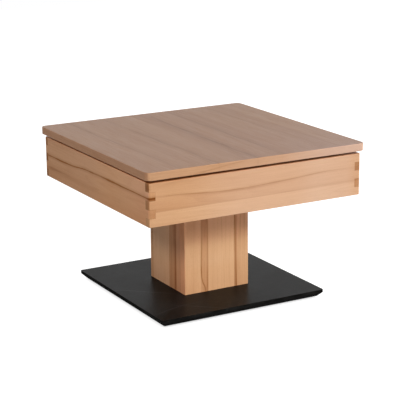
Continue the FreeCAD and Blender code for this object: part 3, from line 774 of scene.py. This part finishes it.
class COFFEE_TABLE_OT_dress_box(MakerOperator, bpy.types.Operator):
    """Finish the box: finger-jointed beech boards, plywood floor and bearing rails"""
    bl_idname = "coffee_table.dress_box"
    bl_label = "Dress the box"

    def execute(self, context):
        low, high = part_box("box_front_board")
        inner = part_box("box_left_board")[1][0]
        fingers = {"inside": -inner, "foot": low[2], "height": (high[2] - low[2]) / FINGERS}
        owned, given_up = dict(fingers, own=0.0), dict(fingers, own=1.0)
        front = [
            streak(0.0022, 0.007, 0.003, (0.0, 0.69, 0.10), (0.08, 0.685, 0.42), (0.22, 0.625, 0.50),
                   (0.34, 0.578, 0.50), (0.50, 0.592, 0.48), (0.66, 0.632, 0.45), (0.80, 0.690, 0.36),
                   (0.92, 0.70, 0.06), beyond=0.08),
            streak(0.0016, 0.006, 0.004, (0.25, 0.58, 0.0), (0.36, 0.555, 0.24), (0.52, 0.565, 0.14),
                   (0.64, 0.59, 0.0)),
            streak(0.003, 0.012, 0.006, (0.0, 0.36, 0.16), (0.2, 0.35, 0.10), (0.5, 0.345, 0.03),
                   (0.75, 0.36, 0.13), (1.0, 0.38, 0.17)),
            streak(0.012, 0.016, 0.0, (0.0, 0.90, 0.45), (0.004, 0.90, 0.30), (0.012, 0.90, 0.0)),
        ]
        beech_board("beech_box_front", "box_front_board", "XZY",
                    [(0.0, 0.60, 0.14, 0.0), (0.325, 0.48, 0.58, 0.05)], front, 1.1,
                    ends=((0.0, 0.42), (0.4, 0.68), (0.8, 0.90)),
                    # Painted sheen towards the right end of the front board.
                    bloom=([(0.08, 0.0), (0.5, 0.24), (0.75, 0.28), (0.92, 0.24), (1.0, 0.08)],
                           [(0.0, 1.0), (1.0, 0.9)]),
                    # Painted shade together with the front board's drifting hue.
                    hue_and_shade=[[(0.0, (0.975, 1.01, 1.05)), (0.25, (0.985, 1.02, 1.04)),
                           (0.50, (0.97, 0.985, 0.98)), (0.66, (0.95, 0.96, 0.945)),
                           (0.80, (0.955, 1.0, 1.035)), (1.0, (0.935, 0.97, 1.01))]],
                    fingers=owned, gap=1)
        left = [
            streak(0.0034, 0.010, 0.004, (0.0, 0.658, 0.98), (0.25, 0.655, 0.98), (0.56, 0.645, 0.98),
                   (0.63, 0.62, 1.0), (0.70, 0.575, 0.75), (0.80, 0.568, 1.0), (1.0, 0.557, 1.0),
                   beyond=0.05),
            streak(0.005, 0.010, 0.006, (0.55, 0.28, 0.0), (0.80, 0.275, 0.24), (0.90, 0.265, 0.48),
                   (1.0, 0.25, 0.2)),
            streak(0.009, 0.014, 0.003, (0.35, 0.22, 0.0), (0.60, 0.22, 0.14), (1.0, 0.22, 0.18)),
            streak(0.005, 0.010, 0.0, (0.0, 0.635, 0.70), (0.006, 0.637, 0.70), (0.028, 0.645, 0.0)),
        ]
        beech_board("beech_box_left", "box_left_board", "YZX",
                    [(0.0, 0.36, 0.41, 0.45), (0.314, 0.44, 0.83, 0.05)], left, 2.3,
                    ends=((0.0, 0.25), (0.5, 0.08)),
                    # Painted sheen towards the near end of the left board.
                    bloom=([(0.0, 0.20), (0.35, 0.09), (1.0, 0.05)], [(0.0, 0.3), (0.5, 0.6), (0.7, 1.0)]),
                    # Painted shade together with the left board's drifting hue.
                    hue_and_shade=[[(0.0, (1.06, 0.96, 0.90)), (0.30, (1.04, 1.0, 0.97)), (0.60, (0.96, 0.945, 0.98)),
                           (0.85, (0.92, 0.90, 0.92))]],
                    fingers=given_up, gap=1)
        right = streak(0.0026, 0.009, 0.006, (0.0, 0.42, 0.5), (0.3, 0.45, 0.6), (0.6, 0.40, 0.4),
                       (1.0, 0.44, 0.5), beyond=0.10)
        beech_board("beech_box_right", "box_right_board", "YZX",
                    [(0.0, 0.62, 0.22, 0.1), (0.34, 0.46, 0.66, 0.2), (0.70, 0.58, 0.35, 0.0)], [right], 3.9,
                    ends=((0.0, 0.56), (0.5, 0.80)), fingers=given_up, gap=1)
        back = streak(0.0024, 0.010, 0.006, (0.0, 0.30, 0.3), (0.35, 0.36, 0.6), (0.7, 0.33, 0.5),
                      (1.0, 0.28, 0.2), beyond=-0.10)
        beech_board("beech_box_back", "box_back_board", "XZY",
                    [(0.0, 0.66, 0.72, 0.05), (0.36, 0.50, 0.18, 0.3), (0.68, 0.60, 0.49, 0.1)], [back], 5.2,
                    fingers=owned, gap=1)
        beech_board("beech_rail", "bearing_rails", "YXZ", [(0.0, 0.70, 0.31, 0.0), (0.5, 0.62, 0.87, 0.1)],
                    seed=6.1)
        dress(self.plywood(context), "box_floor")
        return {"FINISHED"}

    def plywood(self, context):
        """Birch plywood: a plain face veneer, and on its edges plies of two tones in turn."""
        birch, beech = context.scene.coffee_table_hardware.birch, context.scene.coffee_table_beech
        material, n, shader, spot, normal = new_finish("birch_plywood")
        parts = n.split(spot)
        edge = n.flip(n.fade(n.calc("ABSOLUTE", n.split(normal)[2]), 0.5, 0.8))
        wood = n.group(make_beech_figure, {
            "Vector": n.join(parts[0], n.times(parts[1], 0.6), parts[2]), "Seed": 7.7, "Tone": 0.6,
            "Heart": 0.0, "End": 0.0, "Pale": rgba(toned(birch, 1.06)), "Brown": rgba(toned(birch, 0.82)),
            "Heart Shade": rgba(beech.heart), "Line Shade": rgba(beech.line),
            "End Shade": rgba(beech.end_shade)})
        ply = n.calc("FLOORED_MODULO", n.calc("FLOOR", n.calc("DIVIDE", parts[2], PLY)), 2.0)
        dark = n.times(edge, n.scale(ply, 0.0, 1.0, 0.15, 0.65))
        colour = n.blend(dark, wood["Color"], rgba(beech.brown))
        finish_with(n, shader, colour, wood["Roughness"], wood["Height"], 0.0002, 0.25)
        return material


class COFFEE_TABLE_OT_dress_column(MakerOperator, bpy.types.Operator):
    """Finish the column: mitred beech boards, corner blocks and black cap"""
    bl_idname = "coffee_table.dress_column"
    bl_label = "Dress the column"

    def execute(self, context):
        front = [
            streak(0.0020, 0.006, 0.003, (0.0, 0.318, 0.60), (0.05, 0.308, 0.85), (0.09, 0.275, 0.90),
                   (0.15, 0.252, 0.90), (0.30, 0.246, 0.70), (0.45, 0.258, 0.45), (0.7, 0.268, 0.50),
                   (1.0, 0.262, 0.6)),
            streak(0.002, 0.007, 0.005, (0.0, 0.340, 0.62), (0.10, 0.346, 0.56), (0.30, 0.346, 0.42),
                   (0.5, 0.352, 0.36), (1.0, 0.345, 0.35)),
            streak(0.0012, 0.003, 0.002, (0.0, 0.575, 0.05), (0.45, 0.570, 0.10), (0.7, 0.575, 0.25),
                   (1.0, 0.58, 0.10)),
            # The next two broad streaks, strongest towards the top, are painted shade where the box shades
            # the column.
            streak(0.013, 0.016, 0.004, (0.46, 0.305, 0.0), (0.60, 0.305, 0.30), (0.78, 0.305, 0.45),
                   (1.0, 0.305, 0.25)),
            streak(0.022, 0.034, 0.006, (0.42, 0.10, 0.0), (0.58, 0.10, 0.10), (0.76, 0.11, 0.24),
                   (1.0, 0.12, 0.10)),
            streak(0.0020, 0.005, 0.002, (0.40, 0.875, 0.0), (0.55, 0.875, 0.26), (1.0, 0.880, 0.32)),
            streak(0.0026, 0.006, 0.002, (0.42, 0.940, 0.0), (0.58, 0.935, 0.26), (1.0, 0.940, 0.30)),
            streak(0.0024, 0.007, 0.003, (0.0, 0.806, 0.80), (0.12, 0.803, 0.74), (0.3, 0.798, 0.58),
                   (0.6, 0.788, 0.66), (1.0, 0.786, 0.62)),
        ]
        beech_board("beech_column_front", "column_front_board", "ZXY",
                    [(0.0, 0.80, 0.27, 0.0), (0.245, 0.53, 0.61, 0.20), (0.362, 0.95, 0.12, 0.0),
                     (0.77, 0.40, 0.84, 0.3), (0.818, 0.85, 0.45, 0.05)], front, 7.4,
                    # Painted shade: a redder, darker colour on the column's upper part where the box shades
                    # it, together with the board's drifting hue.
                    hue_and_shade=[[(0.0, (0.99, 0.94, 0.90)), (0.20, (1.0, 0.98, 0.95)), (0.32, (1.01, 1.02, 1.02)),
                           (0.44, (1.01, 1.01, 1.0)), (0.56, (0.97, 0.90, 0.91)),
                           (0.70, (1.03, 0.95, 0.99))]])
        left = [
            streak(0.004, 0.011, 0.003, (0.0, 0.260, 0.80), (0.40, 0.264, 0.82), (0.54, 0.266, 0.40),
                   (1.0, 0.268, 0.25)),
            # This broad streak, strongest towards the top, is painted shade under the box.
            streak(0.020, 0.034, 0.004, (0.34, 0.29, 0.0), (0.46, 0.29, 0.18), (0.60, 0.28, 0.34),
                   (1.0, 0.28, 0.34)),
            streak(0.002, 0.007, 0.003, (0.0, 0.125, 0.45), (0.34, 0.128, 0.14), (0.5, 0.130, 0.14),
                   (1.0, 0.135, 0.2)),
            # This broad streak, strongest towards the top, is painted shade under the box near the corner.
            streak(0.020, 0.030, 0.004, (0.46, 0.06, 0.0), (0.56, 0.06, 0.24), (0.64, 0.06, 0.42),
                   (1.0, 0.06, 0.42)),
            streak(0.002, 0.006, 0.002, (0.0, 0.935, 0.40), (0.5, 0.935, 0.45), (1.0, 0.94, 0.5)),
        ]
        beech_board("beech_column_left", "column_left_board", "ZYX",
                    [(0.0, 0.66, 0.55, 0.1), (0.232, 0.32, 0.21, 0.3), (0.44, 0.88, 0.93, 0.0),
                     (0.915, 0.62, 0.38, 0.1)], left, 8.6,
                    # Painted shade along and across the column's left board, redder and darker under the box,
                    # together with the board's drifting hue.
                    hue_and_shade=[[(0.0, (0.98, 0.93, 0.90)), (0.18, (1.04, 1.02, 0.985)), (0.30, (1.03, 1.05, 1.03)),
                           (0.42, (1.0, 1.03, 1.06))],
                          [(0.10, (1.19, 1.0, 1.0)), (0.16, (0.99, 0.84, 0.87)), (0.26, (0.95, 0.82, 0.80)),
                           (0.34, (1.0, 0.955, 1.0)), (0.80, (0.93, 0.91, 0.98))]])
        right = streak(0.0025, 0.008, 0.004, (0.0, 0.30, 0.6), (0.5, 0.31, 0.5), (1.0, 0.295, 0.6))
        beech_board("beech_column_right", "column_right_board", "ZYX",
                    [(0.0, 0.60, 0.17, 0.05), (0.30, 0.42, 0.73, 0.4), (0.46, 0.58, 0.29, 0.0),
                     (0.80, 0.50, 0.66, 0.2)], [right], 9.8)
        back = streak(0.0028, 0.009, 0.004, (0.0, 0.56, 0.5), (0.5, 0.55, 0.7), (1.0, 0.565, 0.5))
        beech_board("beech_column_back", "column_back_board", "ZXY",
                    [(0.0, 0.52, 0.81, 0.1), (0.22, 0.62, 0.34, 0.0), (0.55, 0.38, 0.57, 0.5),
                     (0.70, 0.58, 0.09, 0.0)], [back], 11.2)
        beech_board("beech_block", "column_corner_blocks", "ZXY",
                    [(0.0, 0.66, 0.4, 0.0), (0.5, 0.60, 0.6, 0.1)], seed=12.5)
        panel = context.scene.coffee_table_hardware.panel
        dress(speckled("black_panel", panel, (1.0, (2.0, 1.9, 1.8)), (700.0,) * 3, (0.50, 0.62), 0.0001,
                       gloss=0.3), "column_cap")
        return {"FINISHED"}


class COFFEE_TABLE_OT_dress_base(MakerOperator, bpy.types.Operator):
    """Finish the base: black slate plate and felt-footed glides"""
    bl_idname = "coffee_table.dress_base"
    bl_label = "Dress the base"

    def execute(self, context):
        dress(self.slate(context), "base_plate")
        dress(self.glide(context), "floor_glides")
        return {"FINISHED"}

    def slate(self, context):
        """Black slate: cloudy ground, cleft relief, a few thin pale veins, a honed face and sawn edges."""
        slate = context.scene.coffee_table_slate
        material, n, shader, spot, normal = new_finish("black_slate")
        turned = n.node("Mapping", {"Vector": spot, "Rotation": (0.0, 0.0, 0.55)}).outputs[0]
        cleft = n.noise(turned, (16.0, 7.0, 60.0), 7.0, 0.58, 0.4)
        fine = n.noise(turned, (420.0,) * 3, 3.0, 0.6)
        colour = n.blend(n.fade(cleft, 0.35, 0.70), rgba(slate.ground), rgba(slate.cloud))
        veins = [(0.747, [(0.16, 0.265, 0.0), (0.22, 0.275, 0.63), (0.40, 0.277, 0.45), (0.47, 0.283, 0.0)]),
                 (0.747, [(0.47, 0.125, 0.0), (0.54, 0.125, 0.54), (0.66, 0.130, 0.36), (0.74, 0.132, 0.0)]),
                 (-0.14, [(0.06, 0.228, 0.0), (0.12, 0.240, 0.54), (0.22, 0.250, 0.54), (0.28, 0.244, 0.0)]),
                 (0.30, [(0.60, 0.820, 0.0), (0.70, 0.810, 0.45), (0.85, 0.825, 0.36), (0.95, 0.83, 0.0)]),
                 (1.10, [(0.05, 0.640, 0.0), (0.20, 0.655, 0.36), (0.36, 0.650, 0.45), (0.50, 0.63, 0.0)])]
        for number, (angle, points) in enumerate(veins):
            lie = n.split(n.node("Mapping", {"Vector": spot, "Rotation": (0.0, 0.0, angle)}).outputs[0])
            run = n.scale(lie[0], -SLATE_REACH, SLATE_REACH)
            marks = heart_line(n, streak(0.0018, 0.004, 0.020, *points), run, lie[0], lie[1],
                               -SLATE_REACH, SLATE_REACH, 3.1 * number)
            colour = n.blend(marks["Mask"], colour, rgba(slate.vein))
        colour = n.blend(n.times(n.fade(fine, 0.60, 0.78), 0.25), colour, rgba(slate.vein))
        honed = n.fade(n.split(normal)[2], 0.6, 0.9)
        rough = n.calc("ADD", n.scale(cleft, 0.3, 0.7, 0.26, 0.36), n.times(fine, 0.06))
        rough = n.calc("ADD", n.times(rough, honed), n.scale(honed, 0.0, 1.0, 0.95, 0.0))
        height = n.calc("ADD", cleft, n.times(fine, 0.06))
        finish_with(n, shader, colour, rough, height, slate.relief, slate.gloss)
        return material

    def glide(self, context):
        """Black plastic above, felt in the lowest 2 mm."""
        hardware = context.scene.coffee_table_hardware
        material, n, shader, spot, _ = new_finish("glide_plastic_felt")
        plastic = speckle(n, spot, hardware.plastic, (0.8, 1.3), (900.0,) * 3, (0.40, 0.52))
        felt = speckle(n, spot, hardware.felt, (0.6, 1.4), (800.0, 800.0, 250.0), (0.9, 1.0))
        upper = n.fade(n.split(spot)[2], FELT_TOP, FELT_TOP + 0.0003)
        colour = n.blend(upper, felt["Color"], plastic["Color"])
        rough = n.calc("ADD", n.times(upper, plastic["Roughness"]), n.times(n.flip(upper), felt["Roughness"]))
        finish_with(n, shader, colour, rough, felt["Height"], 0.0002)
        return material


class COFFEE_TABLE_OT_dress_lift(MakerOperator, bpy.types.Operator):
    """Finish the lift: tubes, plates, lever, bushes, gas spring"""
    bl_idname = "coffee_table.dress_lift"
    bl_label = "Dress the lift"

    def execute(self, context):
        hardware = context.scene.coffee_table_hardware
        coat, plastic = hardware.coat, hardware.plastic
        dress(speckled("powder_coat", coat, (0.8, 1.35), (1100.0,) * 3, (0.40, 0.56), 0.00012),
              "base_flange", "guide_tube", "lift_tube", "mount_plate", "mount_gussets", "release_lever")
        dress(speckled("moulded_plastic", plastic, (0.85, 1.3), (1700.0,) * 3, (0.38, 0.50), 0.00008),
              "guide_bush", "lift_slider", "lever_grip")
        dress(speckled("buffer_rubber", hardware.rubber, (0.8, 1.5), (260.0,) * 3, (0.72, 0.88), 0.00015,
                       gloss=0.3), "stop_buffer")
        dress(speckled("gloss_black", coat, (0.7, 1.05), (130.0, 130.0, 30.0), (0.16, 0.24), 0.00002),
              "gas_spring_cylinder")
        dress(speckled("ground_steel", hardware.steel, (0.92, 1.08), (300.0, 300.0, 4200.0), (0.14, 0.24),
                       0.00002, metal=1.0), "gas_spring_rod", "lever_pivot", "release_pin")
        dress(speckled("milled_aluminium", hardware.aluminium, (0.90, 1.05), (180.0, 2600.0, 180.0),
                       (0.28, 0.42), 0.00004, metal=1.0),
              "release_head", "gas_spring_piston", "gas_spring_rod_guide")
        return {"FINISHED"}


class COFFEE_TABLE_OT_dress_bearing(MakerOperator, bpy.types.Operator):
    """Finish the turntable bearing: zinc plated plates and bright balls"""
    bl_idname = "coffee_table.dress_bearing"
    bl_label = "Dress the bearing"

    def execute(self, context):
        steel = context.scene.coffee_table_hardware.steel
        dress(zinc_plate(), "bearing_lower_plate", "bearing_upper_plate")
        dress(speckled("ball_steel", steel, (0.98, 1.10), (900.0,) * 3, (0.06, 0.12), 0.00001, metal=1.0),
              "bearing_balls")
        return {"FINISHED"}


def zinc_plate():
    """The zinc plated finish, made on first use."""
    zinc = bpy.context.scene.coffee_table_hardware.zinc
    return bpy.data.materials.get("zinc_plate") or speckled(
        "zinc_plate", zinc, (0.82, 1.14), (240.0,) * 3, (0.26, 0.42), 0.00003, metal=1.0)


class COFFEE_TABLE_OT_make_screws(MakerOperator, bpy.types.Operator):
    """Make the screws and bolts with their drive sockets and threads"""
    bl_idname = "coffee_table.make_screws"
    bl_label = "Make the screws"

    def execute(self, context):
        corners = self.square("base_bolts", 0.008)
        plate = self.square("lower_plate_screws", 0.004)
        six = self.square("mount_screws", 0.004, (-1, 0, 1))
        low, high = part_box("head_screws")
        head = [(x * (high[0] - 0.005), y) for x in (-1, 1) for y in (low[1] + 0.005, high[1] - 0.005)]
        # Name, node, body, places, whether the heads look up, head radius, shank radius and crown.
        screw_set("base_bolt_set", "base_bolts", "base", corners, False, 0.008, 0.004, 0.0, hexagon=True)
        screw_set("cap_screw_set", "cap_screws", "base", corners, True, 0.004, 0.002, 0.0)
        screw_set("head_screw_set", "head_screws", "lift", head, True, 0.005, 0.0025, 0.0)
        screw_set("mount_screw_set", "mount_screws", "lift", six, False, 0.004, 0.002, 0.0026)
        screw_set("lower_plate_screw_set", "lower_plate_screws", "lift", plate, True, 0.004, 0.002, 0.0016)
        screw_set("upper_plate_screw_set", "upper_plate_screws", "top", plate, False, 0.004, 0.002, 0.0016)
        return {"FINISHED"}

    def square(self, node, head_radius, rows=(-1, 1)):
        """Places of a node's screws in two columns about the middle, with a screw at each of the rows."""
        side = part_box(node)[1][0] - head_radius
        return [(x * side, y * side) for x in (-1, 1) for y in rows]


class COFFEE_TABLE_OT_make_welds(MakerOperator, bpy.types.Operator):
    """Make the weld beads of the lift tube, its ribs and the guide tube"""
    bl_idname = "coffee_table.make_welds"
    bl_label = "Make the weld beads"

    def execute(self, context):
        coat = bpy.data.materials["powder_coat"]
        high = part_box("lift_tube")[1]
        beads = [tube_bead(high[0], LEVER_GAP, high[2], -1.0)]
        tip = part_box("mount_gussets")[1][0]
        run = np.linspace(high[0] + GUSSET_ROOM[0], tip - GUSSET_ROOM[1], GUSSET_ROWS)
        ones, none = np.ones_like(run), np.zeros_like(run)
        down = np.stack([none, none, -ones], -1)
        for across in (-GUSSET_OFFSET, GUSSET_OFFSET):
            for side in (-1.0, 1.0):
                path = np.stack([run, (across + side * GUSSET_HALF) * ones, high[2] * ones], -1)
                out = np.stack([none, side * ones, none], -1)
                for sign in (-1.0, 1.0):
                    there = path * (sign, 1.0, 1.0)
                    beads.append(bead_skin(there, out, down))
                    beads.append(bead_skin(there[:, [1, 0, 2]], out[:, [1, 0, 2]], down))
        joined_piece("lift_weld_beads", beads, coat, "lift", smooth=1.2)
        low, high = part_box("guide_tube")
        bead = tube_bead(high[0], 0.0, low[2], 1.0)
        joined_piece("guide_weld_bead", [bead], coat, "base", smooth=1.2)
        return {"FINISHED"}


class COFFEE_TABLE_OT_make_grip(MakerOperator, bpy.types.Operator):
    """Make the moulded grip of the release lever"""
    bl_idname = "coffee_table.make_grip"
    bl_label = "Make the lever grip"

    def execute(self, context):
        low, high = (np.array(corner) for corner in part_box("lever_grip"))
        skin = self.skin((low + high) / 2.0, (high - low) / 2.0, context.scene.coffee_table_grip)
        joined_piece("moulded_lever_grip", [skin], bpy.data.materials["moulded_plastic"], "lever",
                     ["lever_grip"], smooth=0.9)
        return {"FINISHED"}

    def skin(self, middle, half, sizes):
        """Rounded-square sections (a superellipse in Y and Z) carried along X, drawn in at the ends by the
        fourth root of 1 less the eighth power of the share along; on the underside the section is cut by
        a cosine along X, one wave for each rib."""
        run = np.cos(np.linspace(np.pi, 0.0, GRIP_RINGS + 2))[1:-1, None]
        angle = np.arange(GRIP_STEPS) * 2.0 * np.pi / GRIP_STEPS
        c, s = np.cos(angle), np.sin(angle)
        round_off = (np.abs(c) ** sizes.square + np.abs(s) ** sizes.square) ** (-1.0 / sizes.square)
        ends = (1.0 - np.abs(run) ** 8) ** (1.0 / 4.0)
        under = np.clip(-s, 0.0, 1.0) ** 0.5 * np.clip(1.25 - np.abs(c), 0.0, 1.0)
        band = np.clip((GRIP_RIBBED - np.abs(run)) / 0.08, 0.0, 1.0)
        wave = 0.5 - 0.5 * np.cos(np.pi * sizes.rib_count * (run / GRIP_RIBBED + 1.0))
        x = np.broadcast_to(middle[0] + half[0] * run, (GRIP_RINGS, GRIP_STEPS))
        y = middle[1] + half[1] * ends * round_off * c
        z = middle[2] + half[2] * ends * round_off * s + sizes.rib_depth * band * wave * under
        tip = half * (1.0, 0.0, 0.0)
        return closed_skin(np.stack([x, y, z], -1), middle - tip, middle + tip)


def towards(azimuth, elevation):
    """The direction from the table to a point at a turn from the front and a height angle."""
    level = np.cos(elevation)
    return Vector((np.sin(azimuth) * level, -np.cos(azimuth) * level, np.sin(elevation)))


class COFFEE_TABLE_OT_make_stage(MakerOperator, bpy.types.Operator):
    """Make the floor, the lamps, the white room and the camera"""
    bl_idname = "coffee_table.make_stage"
    bl_label = "Make the stage"

    def execute(self, context):
        stage = context.scene.coffee_table_stage
        self.floor(context, stage)
        self.room(context, stage)
        # Name, turn and height angle in degrees, width and height, level and colour.
        self.lamp(context, "key_lamp", 35.0, 24.5, (2.1, 0.9), stage.key)
        self.lamp(context, "side_lamp", -75.0, 36.0, (2.0, 0.8), stage.side)
        self.lamp(context, "front_strip", 8.0, 4.0, (4.6, 1.2), stage.strip, stage.fill)
        self.lamp(context, "side_strip", -80.0, 4.0, (4.0, 1.2), stage.side_strip)
        self.lamp(context, "back_strip", 150.0, 5.0, (4.0, 1.2), stage.back)
        self.camera(context, stage)
        context.scene.view_settings.view_transform = "Standard"
        return {"FINISHED"}

    def floor(self, context, stage):
        """A flat square, its corners on a two by two grid, white to the camera but for the shade on it, and
        clear from below, so that the table's underside can be looked at."""
        x, y = (part.ravel() for part in np.meshgrid(*[(-FLOOR_REACH, FLOOR_REACH)] * 2))
        mesh = bpy.data.meshes.new("floor")
        mesh.from_pydata(np.stack([x, y, np.zeros(4)], -1).tolist(), [], [(0, 1, 3, 2)])
        material, n, shader, spot, _ = new_finish("pale_floor")
        marks = speckle(n, spot, stage.floor, (0.985, 1.0), (3.0,) * 3, (0.88, 0.95))
        n.link(marks["Color"], shader.inputs["Base Color"])
        n.link(marks["Roughness"], shader.inputs["Roughness"])
        shader.inputs["Specular IOR Level"].default_value = 0.0
        path = n.node("LightPath").outputs
        seen = n.calc("MAXIMUM", path["Is Camera Ray"], n.times(path["Is Glossy Ray"], 0.45))
        # The glow is weaker near the table's foot, so that the real shadow shows there. It also greys the lit
        # floor round the foot, which is painted shade.
        reach = n.split(n.vector("ABSOLUTE", spot))
        away = n.fade(n.calc("MAXIMUM", reach[0], reach[1]), *FOOT_SHADE)
        glow = n.calc("ADD", stage.glow, n.times(away, 1.0 - stage.glow))
        shader.inputs["Emission Color"].default_value = rgba(WHITE)
        n.link(n.times(seen, glow), shader.inputs["Emission Strength"])
        below = n.node("NewGeometry").outputs["Backfacing"]
        n.link(n.flip(below), shader.inputs["Alpha"])
        mesh.materials.append(material)
        floor = bpy.data.objects.new("floor", mesh)
        context.scene.collection.objects.link(floor)

    def room(self, context, stage):
        """White where the camera, a reflection or a clear piece sees it, and a weak light from all round."""
        world = bpy.data.worlds.new("white_room")
        world.use_nodes = True
        n = FinishNodes(world.node_tree)
        path = n.node("LightPath").outputs
        through = n.calc("MAXIMUM", path["Is Glossy Ray"], path["Is Transmission Ray"])
        seen = n.calc("MAXIMUM", path["Is Camera Ray"], through)
        background = world.node_tree.nodes["Background"]
        background.inputs["Color"].default_value = rgba(WHITE)
        n.link(n.scale(seen, 0.0, 1.0, stage.sky, 1.0), background.inputs["Strength"])
        context.scene.world = world

    def lamp(self, context, name, azimuth, elevation, size, level, colour=WHITE):
        """A soft rectangle that gives a face turned to it that share of its written colour."""
        data = bpy.data.lights.new(name, "AREA")
        data.shape = "RECTANGLE"
        data.size, data.size_y = size
        data.energy = level * np.pi ** 2 * LAMP_DISTANCE ** 2
        data.color = colour
        away = towards(np.radians(azimuth), np.radians(elevation))
        lamp = bpy.data.objects.new(name, data)
        lamp.location = Vector((0.0, 0.0, LAMP_AIM)) + away * LAMP_DISTANCE
        lamp.rotation_euler = away.to_track_quat("Z", "Y").to_euler()
        lamp.visible_glossy = False
        context.scene.collection.objects.link(lamp)

    def camera(self, context, stage):
        """A camera at the photograph's angle, from its turn, height angle, roll and distance."""
        back = towards(stage.azimuth, stage.elevation)
        right = Vector((np.cos(stage.azimuth), np.sin(stage.azimuth), 0.0))
        up = back.cross(right)
        across = right * np.cos(stage.roll) + up * np.sin(stage.roll)
        above = up * np.cos(stage.roll) - right * np.sin(stage.roll)
        place = Vector((0.0, 0.0, stage.aim_height)) + right * stage.aim_side + back * stage.distance
        data = bpy.data.cameras.new("studio_camera")
        data.sensor_width = SENSOR
        data.lens = stage.lens
        camera = bpy.data.objects.new("studio_camera", data)
        rows = [(across[i], above[i], back[i], place[i]) for i in range(3)]
        camera.matrix_world = Matrix([*rows, (0, 0, 0, 1)])
        context.scene.collection.objects.link(camera)
        context.scene.camera = camera


class COFFEE_TABLE_PT_panel(bpy.types.Panel):
    """Sizes, colours and steps of the coffee table"""
    bl_idname = "COFFEE_TABLE_PT_panel"
    bl_label = "Coffee table"
    bl_space_type = "VIEW_3D"
    bl_region_type = "UI"
    bl_category = "Coffee table"

    def draw(self, context):
        for label, name, _ in SETTINGS:
            box = self.layout.box()
            box.label(text=label)
            group = getattr(context.scene, name)
            for prop in group.bl_rna.properties:
                if prop.identifier not in ("rna_type", "name"):
                    box.prop(group, prop.identifier)
        for step in STEPS:
            self.layout.operator(step.bl_idname)


SETTINGS = [
    ("Beech", "coffee_table_beech", BeechFinish),
    ("Slate", "coffee_table_slate", SlateFinish),
    ("Hardware", "coffee_table_hardware", HardwareFinish),
    ("Fasteners", "coffee_table_fasteners", FastenerSizes),
    ("Weld beads", "coffee_table_welds", WeldSizes),
    ("Lever grip", "coffee_table_grip", GripSizes),
    ("Stage", "coffee_table_stage", StageSettings),
]

STEPS = [
    COFFEE_TABLE_OT_dress_top,
    COFFEE_TABLE_OT_dress_box,
    COFFEE_TABLE_OT_dress_column,
    COFFEE_TABLE_OT_dress_base,
    COFFEE_TABLE_OT_dress_lift,
    COFFEE_TABLE_OT_dress_bearing,
    COFFEE_TABLE_OT_make_screws,
    COFFEE_TABLE_OT_make_welds,
    COFFEE_TABLE_OT_make_grip,
    COFFEE_TABLE_OT_make_stage,
]


def register():
    """Registers the settings, the steps and the panel."""
    for _, name, group in SETTINGS:
        bpy.utils.register_class(group)
        setattr(bpy.types.Scene, name, PointerProperty(type=group))
    for step in STEPS:
        bpy.utils.register_class(step)
    bpy.utils.register_class(COFFEE_TABLE_PT_panel)


def unregister():
    """Removes the panel, the steps and the settings."""
    bpy.utils.unregister_class(COFFEE_TABLE_PT_panel)
    for step in reversed(STEPS):
        bpy.utils.unregister_class(step)
    for _, name, group in reversed(SETTINGS):
        delattr(bpy.types.Scene, name)
        bpy.utils.unregister_class(group)


def main():
    """Dresses the table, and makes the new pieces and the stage."""
    register()
    bpy.ops.coffee_table.dress_top()
    bpy.ops.coffee_table.dress_box()
    bpy.ops.coffee_table.dress_column()
    bpy.ops.coffee_table.dress_base()
    bpy.ops.coffee_table.dress_lift()
    bpy.ops.coffee_table.dress_bearing()
    bpy.ops.coffee_table.make_screws()
    bpy.ops.coffee_table.make_welds()
    bpy.ops.coffee_table.make_grip()
    bpy.ops.coffee_table.make_stage()


if __name__ == "__main__":
    main()
